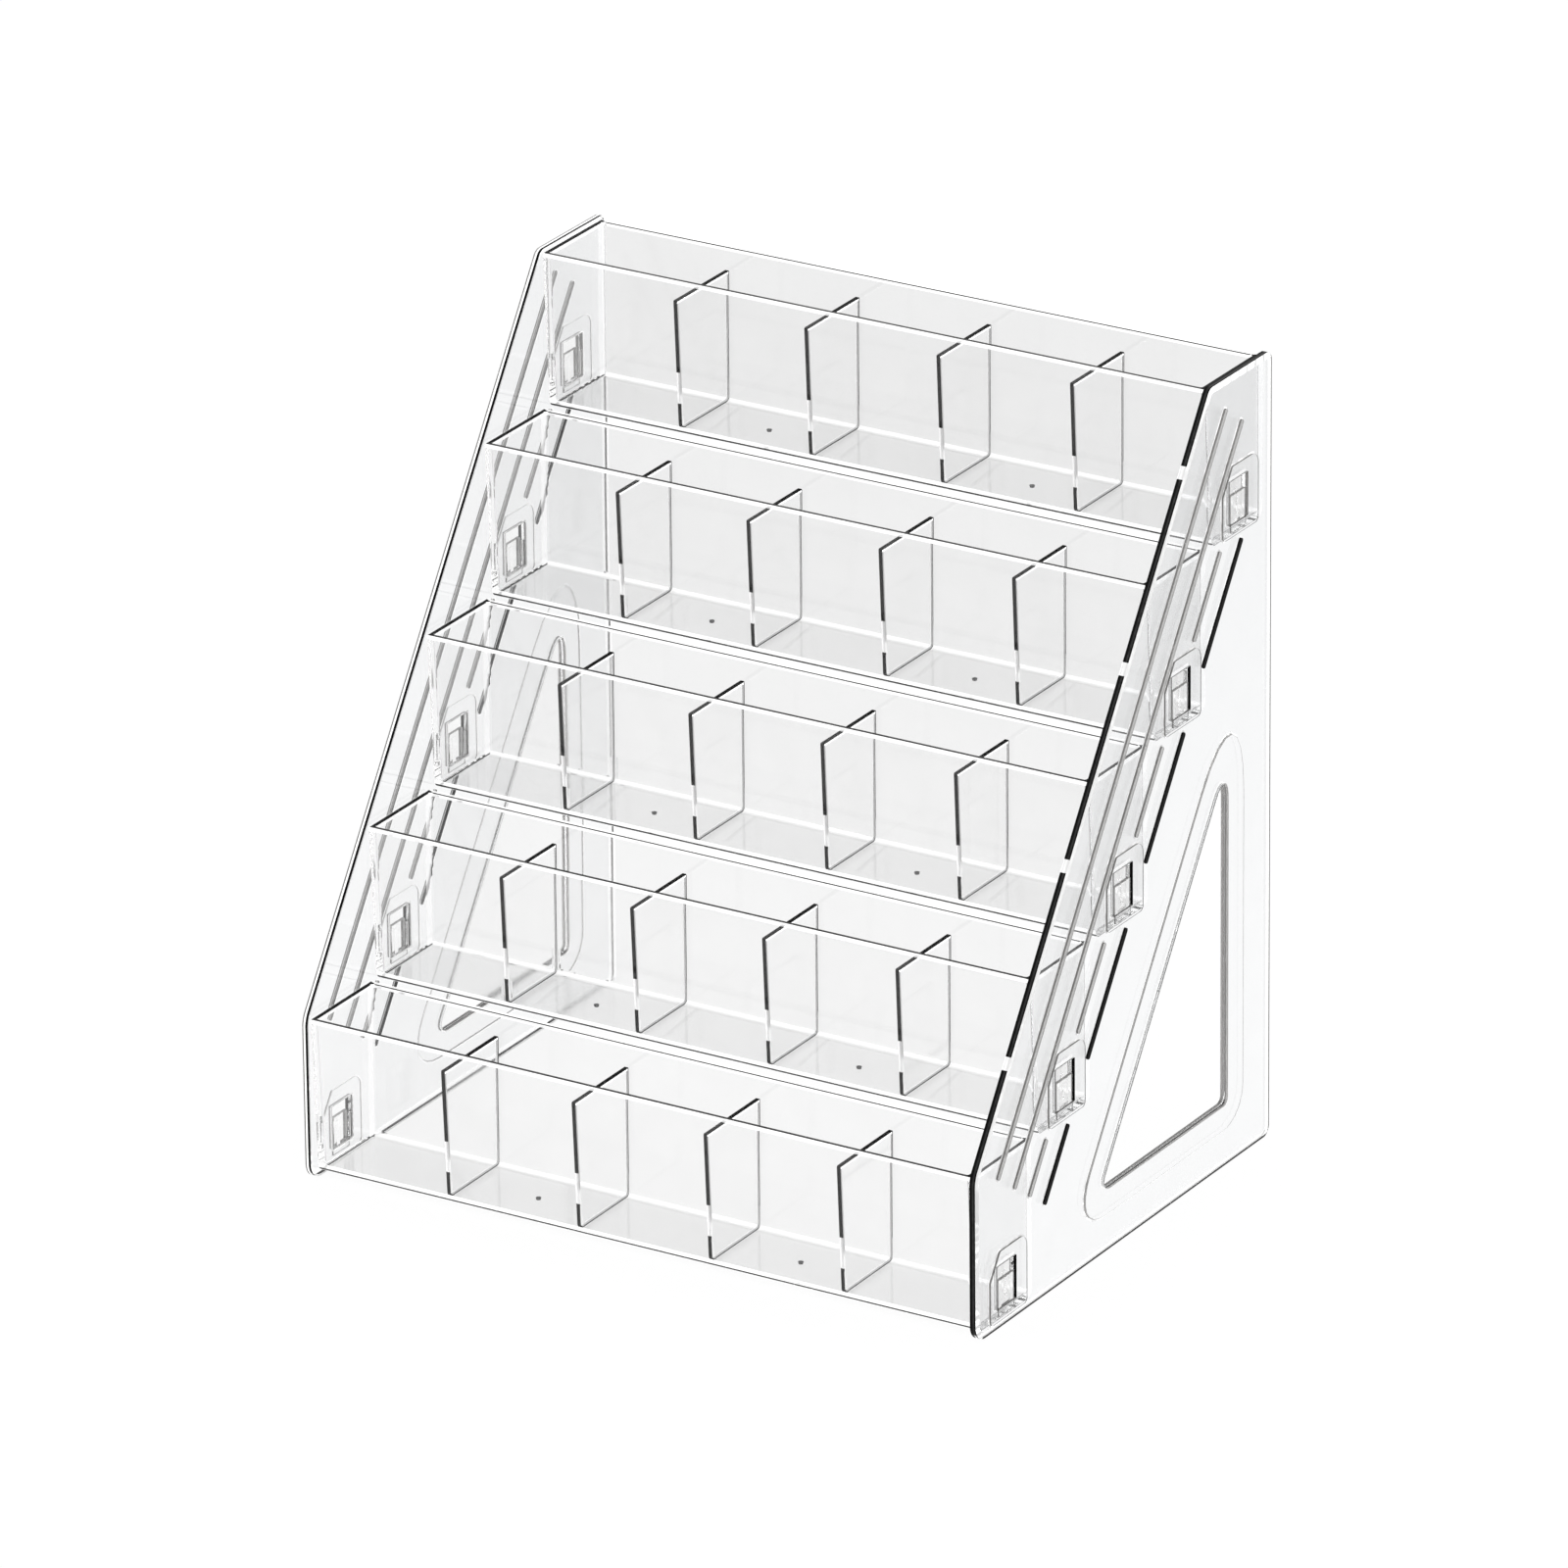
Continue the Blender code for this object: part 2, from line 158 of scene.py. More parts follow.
def fill_flat(bm: bmesh.types.BMesh, edges: Iterable) -> list:
    """Fill the flat area between closed loops; a loop inside another is a hole.

    Args:
        bm: Mesh that holds the loops.
        edges: Edges of all the loops.

    Returns:
        The new faces.
    """
    filled = bmesh.ops.triangle_fill(bm, use_beauty=True, use_dissolve=False, edges=list(edges))
    return [item for item in filled["geom"] if isinstance(item, bmesh.types.BMFace)]


def extrude_along_x(bm: bmesh.types.BMesh, faces: Sequence, distance: float) -> tuple[list, list]:
    """Extrude faces along X.

    Args:
        bm: Mesh that holds the faces.
        faces: Faces to extrude.
        distance: Signed length.

    Returns:
        The moved faces, and the walls made behind them.
    """
    known = set(bm.faces)
    made = bmesh.ops.extrude_face_region(bm, geom=list(faces))["geom"]
    moved = [item for item in made if isinstance(item, bmesh.types.BMFace)]
    bmesh.ops.translate(bm, verts=[item for item in made if isinstance(item, bmesh.types.BMVert)],
                        vec=(distance, 0, 0))
    walls = [face for face in bm.faces if face not in known and face not in set(moved)]
    return moved, walls


def border_edges(faces: Sequence) -> list:
    """Edges that only one of the given faces uses."""
    group = set(faces)
    return [edge for face in faces for edge in face.edges
            if sum(other in group for other in edge.link_faces) == 1]


def edges_where(bm: bmesh.types.BMesh, test: Callable[[Vector, Vector], bool]) -> list:
    """Edges whose two end points pass a test."""
    return [edge for edge in bm.edges if test(edge.verts[0].co, edge.verts[1].co)]


def round_edges(bm: bmesh.types.BMesh, edges: Sequence, radius: float, steps: int) -> list:
    """Bevel edges with a round profile.

    Args:
        bm: Mesh that holds the edges.
        edges: Edges to round.
        radius: Width of the bevel.
        steps: Segments across it.

    Returns:
        The new faces.
    """
    made = bmesh.ops.bevel(bm, geom=list(edges), offset=radius, offset_type="OFFSET", affect="EDGES",
                           segments=steps, profile=0.5, clamp_overlap=True, material=-1)
    return made["faces"]


def cut_across(bm: bmesh.types.BMesh, place: Vector, normal: Vector) -> None:
    """Cut every face along a plane, without taking anything off."""
    everything = list(bm.verts) + list(bm.edges) + list(bm.faces)
    bmesh.ops.bisect_plane(bm, geom=everything, dist=TINY / 10, plane_co=place, plane_no=normal)


def paint(faces: Iterable, zone: int) -> None:
    """Give faces one material slot."""
    for face in faces:
        face.material_index = zone


def add_block(bm: bmesh.types.BMesh, low: Vector, high: Vector, rounding: float) -> list:
    """Add a box with rounded edges.

    Args:
        bm: Mesh to add it to.
        low: Lowest corner.
        high: Highest corner.
        rounding: Width of the edge bevels.

    Returns:
        The box's faces.
    """
    known = set(bm.faces)
    shape = Matrix.Translation((low + high) / 2) @ Matrix.Diagonal((*(high - low), 1))
    made = bmesh.ops.create_cube(bm, size=1, matrix=shape)
    edges = {edge for vert in made["verts"] for edge in vert.link_edges}
    round_edges(bm, list(edges), rounding, 2)
    return [face for face in bm.faces if face not in known]


def finish_mesh(bm: bmesh.types.BMesh, name: str, finishes: Sequence[bpy.types.Material]) -> bpy.types.Object:
    """Turn a bmesh into a linked object at the origin.

    Args:
        bm: Finished bmesh, which is freed.
        name: Name of the object.
        finishes: Materials in slot order.

    Returns:
        The new object.
    """
    mesh = bpy.data.meshes.new(name)
    bm.to_mesh(mesh)
    bm.free()
    for finish in finishes:
        mesh.materials.append(finish)
    piece = bpy.data.objects.new(name, mesh)
    bpy.context.scene.collection.objects.link(piece)
    return piece


# ----------------------------------------------------------------------------------------------- finishes


@dataclass(frozen=True)
class Finish:
    """Moulded plastic with a slow change of tone up the rack and a fine mottle over it.

    The tone is what is left of the light after one wall, partly tint and partly painted shade, and its change
    up the rack is painted shade; opaque finishes have no transmission.
    """

    name: str
    tone_low: tuple[float, float, float]
    tone_high: tuple[float, float, float]
    transmission: float = 1.0
    roughness: float = 0.02
    roughness_spread: float = 0.02
    mottle: float = 0.02
    mottle_scale: float = 60.0
    ior: float = 1.36
    specular: float = 0.5
    glow: float = 0.0

    def build(self, height: float) -> bpy.types.Material:
        """Make the material.

        Args:
            height: Height of the rack, over which the tone changes.

        Returns:
            The node material.
        """
        material = bpy.data.materials.new(self.name)
        material.use_nodes = True
        tree = material.node_tree
        shader = tree.nodes["Principled BSDF"]
        shader.inputs["IOR"].default_value = self.ior
        shader.inputs["Transmission Weight"].default_value = self.transmission
        shader.inputs["Specular IOR Level"].default_value = self.specular
        shader.inputs["Emission Color"].default_value = (1, 1, 1, 1)
        shader.inputs["Emission Strength"].default_value = self.glow
        place = tree.nodes.new("ShaderNodeTexCoord")
        self._dress_colour(tree, shader, place, height)
        self._dress_gloss(tree, shader, place)
        return material

    def _dress_colour(self, tree: bpy.types.NodeTree, shader: bpy.types.Node, place: bpy.types.Node,
                      height: float) -> None:
        """Link the tone, which changes with height as painted shade and is faintly mottled."""
        split = tree.nodes.new("ShaderNodeSeparateXYZ")
        tree.links.new(place.outputs["Object"], split.inputs[0])
        climb = tree.nodes.new("ShaderNodeMapRange")
        climb.interpolation_type = "SMOOTHSTEP"
        climb.inputs["From Max"].default_value = height
        tree.links.new(split.outputs["Z"], climb.inputs["Value"])
        tone = tree.nodes.new("ShaderNodeMix")
        tone.data_type = "RGBA"
        tone.inputs["A"].default_value = (*self.tone_low, 1)
        tone.inputs["B"].default_value = (*self.tone_high, 1)
        tree.links.new(climb.outputs["Result"], tone.inputs["Factor"])
        noise = tree.nodes.new("ShaderNodeTexNoise")
        noise.inputs["Scale"].default_value = self.mottle_scale
        noise.inputs["Detail"].default_value = 3
        tree.links.new(place.outputs["Object"], noise.inputs["Vector"])
        swing = tree.nodes.new("ShaderNodeMapRange")
        swing.inputs["To Min"].default_value = 1 - self.mottle
        swing.inputs["To Max"].default_value = 1 + self.mottle
        tree.links.new(noise.outputs["Fac"], swing.inputs["Value"])
        mixed = tree.nodes.new("ShaderNodeVectorMath")
        mixed.operation = "SCALE"
        tree.links.new(tone.outputs["Result"], mixed.inputs[0])
        tree.links.new(swing.outputs["Result"], mixed.inputs["Scale"])
        tree.links.new(mixed.outputs["Vector"], shader.inputs["Base Color"])

    def _dress_gloss(self, tree: bpy.types.NodeTree, shader: bpy.types.Node, place: bpy.types.Node) -> None:
        """Link the gloss, with faint polishing haze."""
        haze = tree.nodes.new("ShaderNodeTexNoise")
        haze.inputs["Scale"].default_value = self.mottle_scale * 3
        tree.links.new(place.outputs["Object"], haze.inputs["Vector"])
        spread = tree.nodes.new("ShaderNodeMapRange")
        spread.inputs["To Min"].default_value = self.roughness
        spread.inputs["To Max"].default_value = self.roughness + self.roughness_spread
        tree.links.new(haze.outputs["Fac"], spread.inputs["Value"])
        tree.links.new(spread.outputs["Result"], shader.inputs["Roughness"])


def grey(value: float, warmth: float = 0.0) -> tuple[float, float, float]:
    """Neutral tone, a little warmer or cooler."""
    return value * (1 + warmth), value, value * (1 - warmth)


class Palette:
    """All finishes of the rack, each made once."""

    # Clear panel and tray-wall faces: partly the plastic's tint and partly painted shade, greyer up the rack.
    PANEL = Finish("clear_panel_plastic", grey(0.955, -0.004), grey(0.90, -0.006))
    TRAY_WALL = Finish("clear_tray_wall", grey(0.985), grey(0.955))
    # Back walls: the same plastic as the other walls, drawn darker as painted shade.
    BACK_WALL = Finish("clear_tray_back_wall", grey(0.94), grey(0.845))
    # Tray floors: the same plastic, drawn greyer as painted shade.
    TRAY_FLOOR = Finish("clear_tray_floor", grey(0.84), grey(0.80), roughness=0.05)
    PLATE = Finish("clear_divider_plate", grey(0.99), grey(0.98))
    RIB = Finish("clear_guide_rib", grey(0.995), grey(0.99), ior=1.03, specular=0.1)
    # Painted highlight: white, partly clear and glowing, for the bright bands beside dark edge lines and on
    # inner bends.
    HIGHLIGHT = Finish("painted_highlight_glow", grey(0.98), grey(0.98), transmission=0.6, roughness=0.2,
                       ior=1.1, glow=0.3)
    # Painted shade: near-black lines for the dark look of the clear plastic's edges.
    BLACK_EDGE = Finish("painted_black_edge_shade", grey(0.004), grey(0.006), transmission=0.0, roughness=0.35,
                        mottle=0.3, mottle_scale=220.0, specular=0.05)
    # Painted shade: very dark grey lines along rims, feet and bends of the clear plastic.
    DEEP_SHADE_EDGE = Finish("painted_deep_shade_edge", grey(0.045, 0.02), grey(0.055, 0.02), transmission=0.0,
                        roughness=0.3, mottle=0.25, mottle_scale=180.0, specular=0.1)
    # Painted shade: mid grey, partly clear lines along edges and relief walls.
    SOFT_EDGE = Finish("painted_soft_shade_edge", grey(0.22, 0.02), grey(0.26, 0.02), transmission=0.2,
                       roughness=0.25, mottle=0.15, mottle_scale=140.0, specular=0.2)
    # Painted shade: light grey, partly clear lines along beads, frames and hooks.
    FAINT_EDGE = Finish("painted_faint_shade_edge", grey(0.42, 0.015), grey(0.46, 0.015), transmission=0.35,
                        roughness=0.25, mottle=0.08, mottle_scale=140.0, specular=0.2)
    # Painted shade: near-black and strongly mottled, for the dark sloped edge of the right panel.
    MOTTLED_SHADE = Finish("painted_mottled_edge_shade", grey(0.025), grey(0.03), transmission=0.0, roughness=0.3,
                    mottle=0.9, mottle_scale=420.0, specular=0.1)

    def __init__(self, height: float) -> None:
        """Remember the rack's height.

        Args:
            height: Height over which tones change.
        """
        self.height = height
        self.made: dict[str, bpy.types.Material] = {}

    def get(self, finish: Finish) -> bpy.types.Material:
        """Material of a finish, made on first use.

        Args:
            finish: The finish wanted.

        Returns:
            Its material.
        """
        if finish.name not in self.made:
            self.made[finish.name] = finish.build(self.height)
        return self.made[finish.name]

    def row(self, finishes: Iterable[Finish]) -> list[bpy.types.Material]:
        """Materials in slot order."""
        return [self.get(finish) for finish in finishes]


class Zone(IntEnum):
    """Material slots that every piece of the rack shares; FLOOR and BACK are greyer copies of the clear face
    as painted shade, HIGHLIGHT is a painted highlight and the dark and grey edge slots are painted shade.
    """

    FACE = 0
    FLOOR = 1
    HIGHLIGHT = 2
    BLACK = 3
    SMOKE = 4
    SOFT = 5
    FAINT = 6
    BACK = 7
    RIB = 8
    MOTTLED_SHADE = 9


def zone_finishes(face: Finish) -> tuple[Finish, ...]:
    """Finishes in the order of Zone, around one clear face finish."""
    return (face, Palette.TRAY_FLOOR, Palette.HIGHLIGHT, Palette.BLACK_EDGE, Palette.DEEP_SHADE_EDGE,
            Palette.SOFT_EDGE, Palette.FAINT_EDGE, Palette.BACK_WALL, Palette.RIB, Palette.MOTTLED_SHADE)


# --------------------------------------------------------------------------------------- places of pieces


@lru_cache(maxsize=None)
def node_box(node: str) -> tuple[Vector, Vector]:
    """Lowest and highest corner of a frame node at rest, read once."""
    low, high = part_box(node)
    return Vector(low), Vector(high)


@dataclass(frozen=True)
class RackFrame:
    """Places read from the fixed frame's boxes, and the few sizes that the boxes don't show."""

    gate_height: float = 0.0004
    relief: float = 0.0008
    tray_end_gap: float = 0.0003
    panel_thickness: float = 0.0025

    def tray_box(self, tier: int) -> tuple[Vector, Vector]:
        """Box of a tray without its hooks and gate nubs.

        Args:
            tier: 1 for the lowest.

        Returns:
            Lowest and highest corner.
        """
        low, high = node_box(f"tray_{tier}")
        half = self.panel_inner() - self.tray_end_gap
        return Vector((-half, low.y, low.z + self.gate_height)), Vector((half, high.y, high.z))

    def divider_box(self, tier: int, station: int) -> tuple[Vector, Vector]:
        """Box of a divider plate."""
        return node_box(f"divider_{tier}_{station}")

    def panel_box(self, side: Side) -> tuple[Vector, Vector]:
        """Box of a side panel, relief included."""
        return node_box(f"{side.word}_side_panel")

    def panel_outer(self) -> float:
        """Distance of a panel's plain outer face from the middle."""
        return self.panel_box(Side.RIGHT)[1].x - self.relief

    def panel_inner(self) -> float:
        """Distance of a panel's inner face from the middle."""
        return self.panel_outer() - self.panel_thickness

    def slope(self) -> Vector:
        """Direction up the sloped front edge, as (y, z)."""
        low, high = self.tray_box(1)[0], self.tray_box(TIERS)[0]
        return Vector((high.y - low.y, high.z - low.z)).normalized()


# ---------------------------------------------------------------------------------------------- dividers


@dataclass
class DividerPlate:
    """Thin plate with rounded corners, edges darkened with painted shade and a painted highlight border."""

    frame: RackFrame
    palette: Palette
    tier: int
    station: int
    front_rake: float = 0.0034 / 0.0648
    foot_radius: float = 0.0020
    head_radius: float = 0.0006
    # edge_line, border, foot_dark and bright_gap size the painted shade lines and painted highlight strips.
    edge_line: float = 0.00045
    border: float = 0.0008
    foot_dark: float = 0.0105
    bright_gap: float = 0.0130
    arc_steps: int = 7

    @property
    def name(self) -> str:
        """Node that this plate stands for."""
        return f"divider_{self.tier}_{self.station}"

    def corners(self, low: Vector, high: Vector) -> list[Corner]:
        """Outline of the plate, with its raked front edge.

        Args:
            low: Lowest corner of the plate's box.
            high: Highest corner of the plate's box.

        Returns:
            Four rounded corners.
        """
        foot_y = low.y + self.front_rake * (high.z - low.z)
        return [Corner(foot_y, low.z, self.foot_radius), Corner(high.y, low.z, self.foot_radius),
                Corner(high.y, high.z, self.head_radius), Corner(low.y, high.z, self.head_radius)]

    def shape(self) -> bmesh.types.BMesh:
        """Model the plate.

        Returns:
            The closed plate with its zones painted.
        """
        low, high = self.frame.divider_box(self.tier, self.station)
        bm = bmesh.new()
        outline = draw_outline(bm, self.corners(low, high), low.x, self.arc_steps)
        near = fill_flat(bm, outline)
        far, walls = extrude_along_x(bm, near, high.x - low.x)
        # Edge walls and a line round each broad face are painted shade, and a border inside it a painted
        # highlight.
        paint(walls, Zone.BLACK)
        for broad in (near, far):
            for width, zone in ((self.edge_line, Zone.BLACK), (self.border, Zone.HIGHLIGHT)):
                strips = bmesh.ops.inset_region(bm, faces=broad, thickness=width, use_boundary=True,
                                                use_even_offset=True)["faces"]
                paint(strips, zone)
        bmesh.ops.recalc_face_normals(bm, faces=bm.faces)
        self.brighten_front(bm, low)
        return bm

    def brighten_front(self, bm: bmesh.types.BMesh, low: Vector) -> None:
        """Leave a painted highlight stretch of the front edge above its foot, which stays painted shade.

        Args:
            bm: The plate.
            low: Lowest corner of the plate's box.
        """
        start = low.z + self.foot_dark
        stop = start + self.bright_gap
        for height in (start, stop):
            cut_across(bm, UP * height, UP)
        for face in bm.faces:
            centre = face.calc_center_median()
            if face.material_index == Zone.BLACK and start < centre.z < stop and self.near_front(centre, low):
                face.material_index = Zone.HIGHLIGHT

    def near_front(self, centre: Vector, low: Vector) -> bool:
        """Whether a point lies on the front edge or the painted shade line beside it."""
        reach = low.y + self.front_rake * (self.foot_dark + self.bright_gap) + 4 * self.edge_line
        return centre.y < reach + self.foot_radius

    def make(self) -> bpy.types.Object:
        """Make the plate, which rides on its own body."""
        finishes = self.palette.row(zone_finishes(Palette.PLATE))
        piece = finish_mesh(self.shape(), f"{self.name}_plate", finishes)
        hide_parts(self.name)
        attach(piece, f"{self.name}_body")
        return piece


# -------------------------------------------------------------------------------------------------- trays


@dataclass
class Tray:
    """Long open tray with a raked front wall, end hooks, divider guides and gate nubs."""

    frame: RackFrame
    palette: Palette
    tier: int
    wall: float = 0.0020
    floor: float = 0.0018
    rake: float = 0.0034
    foot_radius: float = 0.0030
    end_radius: float = 0.0004
    inner_radius: float = 0.0012
    # rim_strip, rim_band, rim_line and foot_line place painted shade lines and painted highlight bands.
    rim_strip: float = 0.00032
    arris: float = 0.00018
    rim_band: float = 0.0015
    rim_line: float = 0.00035
    foot_line: tuple[float, float, float] = (0.0009, 0.0019, 0.0036)
    guide_depth: float = 0.0012
    guide_width: float = 0.0010
    guide_height: float = 0.0100
    clearance: float = 0.0003
    gate_radius: float = 0.0011
    gate_sides: int = 20
    # Normal limits that sort faces into painted shade, painted highlight, floor and back-wall tones.
    bend_tilt: tuple[float, float] = (0.15, 0.97)
    end_share: float = 0.3
    front_share: float = 0.2
    flat_share: float = 0.9
    guide_rounding: float = 0.00015

    def __post_init__(self) -> None:
        """Read the tray's box."""
        self.low, self.high = self.frame.tray_box(self.tier)

    @property
    def name(self) -> str:
        """Node that this tray stands for."""
        return f"tray_{self.tier}"

    def front(self, height: float, inset: float = 0.0) -> float:
        """Y of the raked front wall's face.

        Args:
            height: Height over the underside.
            inset: Distance in from the outer face.

        Returns:
            Its y.
        """
        full = self.high.z - self.low.z
        return self.low.y + inset + self.rake * (1 - height / full)

    def add_shell(self, bm: bmesh.types.BMesh, inset: float, foot: float, half: float) -> list:
        """Add a box with a raked front and no top.

        Args:
            bm: Mesh to add it to.
            inset: Distance in from the outer walls.
            foot: Height of its floor over the underside.
            half: Half its length.

        Returns:
            Its faces.
        """
        known = set(bm.faces)
        back = self.high.y - inset
        head = self.high.z - self.low.z
        corners = [Corner(self.front(foot, inset), self.low.z + foot), Corner(back, self.low.z + foot),
                   Corner(back, self.high.z), Corner(self.front(head, inset), self.high.z)]
        end = fill_flat(bm, draw_outline(bm, corners, -half, 1))
        extrude_along_x(bm, end, 2 * half)
        made = [face for face in bm.faces if face not in known]
        top = [face for face in made if min(vert.co.z for vert in face.verts) > self.high.z - TINY]
        bmesh.ops.delete(bm, geom=top, context="FACES_ONLY")
        return [face for face in made if face.is_valid]

    def below_rim(self, edge: bmesh.types.BMEdge) -> bool:
        """Whether an edge is not one of the rim's."""
        return min(vert.co.z for vert in edge.verts) < self.high.z - TINY

    def round_outside(self, bm: bmesh.types.BMesh) -> None:
        """Round the long foot edges widely and the end edges a little."""
        foot = self.low.z + TINY
        long_edges = edges_where(bm, lambda a, b: a.z < foot and b.z < foot and abs(a.x - b.x) > self.wall)
        round_edges(bm, long_edges, self.foot_radius, 6)
        half = self.high.x - TINY
        ends = [edge for edge in edges_where(bm, lambda a, b: min(abs(a.x), abs(b.x)) > half)
                if self.below_rim(edge) and len(edge.link_faces) == 2
                and edge.calc_face_angle(0) > math.radians(40)]
        round_edges(bm, ends, self.end_radius, 2)

    def round_inside(self, bm: bmesh.types.BMesh, shell: Sequence) -> None:
        """Round every inner edge under the rim."""
        edges = {edge for face in shell for edge in face.edges}
        sharp = [edge for edge in edges if self.below_rim(edge) and len(edge.link_faces) == 2
                 and edge.calc_face_angle(0) > math.radians(30)]
        round_edges(bm, sharp, self.inner_radius, 4)

    def hollow_body(self) -> bmesh.types.BMesh:
        """Model walls, floor and rim as one closed shell.

        Returns:
            The tray's body, with no zones painted.
        """
        bm = bmesh.new()
        self.add_shell(bm, 0, 0, self.high.x)
        self.round_outside(bm)
        inner = self.add_shell(bm, self.wall, self.floor, self.high.x - self.wall)
        self.round_inside(bm, inner)
        rim = fill_flat(bm, [edge for edge in bm.edges if edge.is_boundary])
        bmesh.ops.recalc_face_normals(bm, faces=bm.faces)
        strips = bmesh.ops.inset_region(bm, faces=rim, thickness=self.rim_strip, use_boundary=True,
                                        use_even_offset=True)["faces"]
        sharp = [edge for edge in {edge for face in strips for edge in face.edges}
                 if any(abs(face.normal.z) < HALF_FACING for face in edge.link_faces)]
        round_edges(bm, sharp, self.arris, 1)
        # Cut lines that bound the painted shade lines and painted highlight bands.
        for height in self.foot_line:
            cut_across(bm, UP * (self.low.z + height), UP)
        for depth in (self.rim_line, self.rim_band):
            cut_across(bm, UP * (self.high.z - depth), UP)
        cut_across(bm, REARWARDS * (self.high.y - 2 * self.wall), REARWARDS)
        return bm

    def zone_of(self, face: bmesh.types.BMFace) -> Zone:
        """Finish of a face of the tray's body, from where it lies: painted shade lines on rims, feet and end
        fillets, painted highlight bands beside them and on the inner bends, and greyer floor and back-wall
        tones as painted shade.

        Args:
            face: The face.

        Returns:
            Its zone.
        """
        centre, normal = face.calc_center_median(), face.normal
        height = centre.z - self.low.z
        near_front = centre.y < self.front(height, self.wall) + TINY
        near_back = centre.y > self.high.y - self.wall - TINY
        if centre.z > self.high.z - self.arris * 1.5:
            return self.rim_zone(centre, near_front, near_back)
        if abs(centre.x) > self.high.x - self.end_radius and centre.y > self.high.y - 2 * self.wall:
            return Zone.HIGHLIGHT
        if centre.z > self.high.z - self.rim_line and near_back and centre.y < self.high.y - self.arris * 2:
            return Zone.SMOKE
        if centre.z > self.high.z - self.rim_band:
            return Zone.HIGHLIGHT
        if near_front and normal.y < -self.front_share:
            first, second, third = self.foot_line
            if first < height < second:
                return Zone.SMOKE
            return Zone.HIGHLIGHT if height < third else Zone.FACE
        least, most = self.bend_tilt
        if least < abs(normal.z) < most and height < self.floor + self.inner_radius:
            if abs(normal.x) > self.end_share:
                return Zone.SMOKE if height < self.floor + self.inner_radius / 4 else Zone.FACE
            return Zone.HIGHLIGHT
        if abs(normal.z) > self.flat_share:
            return Zone.FLOOR
        return Zone.BACK if near_back else Zone.FACE

    def rim_zone(self, centre: Vector, near_front: bool, near_back: bool) -> Zone:
        """Finish of a face on the rim: painted shade strips and painted highlight strips.

        Args:
            centre: Middle of the face.
            near_front: Whether it is over the front wall.
            near_back: Whether it is over the back wall.

        Returns:
            Its zone.
        """
        if abs(centre.x) > self.high.x - self.wall:
            return Zone.HIGHLIGHT if abs(centre.x) > self.high.x - self.rim_strip * 1.2 else Zone.BLACK
        if near_front:
            return Zone.HIGHLIGHT if centre.y < self.low.y + self.rim_strip else Zone.SMOKE
        inner_strip = near_back and centre.y < self.high.y - self.wall + self.rim_strip
        return Zone.SMOKE if inner_strip else Zone.HIGHLIGHT

    def add_guides(self, bm: bmesh.types.BMesh) -> None:
        """Add the pairs of short ribs that hold the lower corners of each divider."""
        foot = self.low.z + self.floor - self.clearance
        head = self.low.z + self.floor + self.guide_height
        front = self.front(self.floor, self.wall)
        back = self.high.y - self.wall
        for station in range(1, STATIONS + 1):
            plate_low, plate_high = self.frame.divider_box(self.tier, station)
            for start in (plate_low.x - self.clearance - self.guide_width, plate_high.x + self.clearance):
                stop = start + self.guide_width
                for near, far in ((front - self.rake / 4, front + self.guide_depth),
                                  (back - self.guide_depth, back + self.clearance)):
                    guide = add_block(bm, Vector((start, near, foot)), Vector((stop, far, head)),
                                      self.guide_rounding)
                    paint(guide, Zone.RIB)

    def add_gates(self, bm: bmesh.types.BMesh) -> None:
        """Add the two gate nubs under the floor, below the middles of their compartments."""
        pitch = 2 * self.high.x / (STATIONS + 1)
        middle = (self.front(0, self.wall) + self.high.y - self.wall) / 2
        for side in Side:
            known = set(bm.faces)
            place = Vector((side.value * pitch, middle, self.low.z))
            depth = self.frame.gate_height + self.floor / 2
            centre = place + UP * (depth / 2 - self.frame.gate_height)
            bmesh.ops.create_cone(bm, cap_ends=True, segments=self.gate_sides, radius1=self.gate_radius * 0.8,
                                  radius2=self.gate_radius, depth=depth, matrix=Matrix.Translation(centre))
            # The clear nubs are painted black as painted shade.
            paint([face for face in bm.faces if face not in known], Zone.BLACK)

    def make(self) -> bpy.types.Object:
        """Make the tray, which rides on the rack."""
        bm = self.hollow_body()
        # Paint each face's zone: painted shade lines, painted highlights and shaded tones.
        for face in bm.faces:
            face.material_index = self.zone_of(face)
        self.add_guides(bm)
        self.add_gates(bm)
        for side in Side:
            TrayHook(self, side).add(bm)
        piece = finish_mesh(bm, f"{self.name}_moulding", self.palette.row(zone_finishes(Palette.TRAY_WALL)))
        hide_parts(self.name)
        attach(piece, RACK_BODY)
        return piece


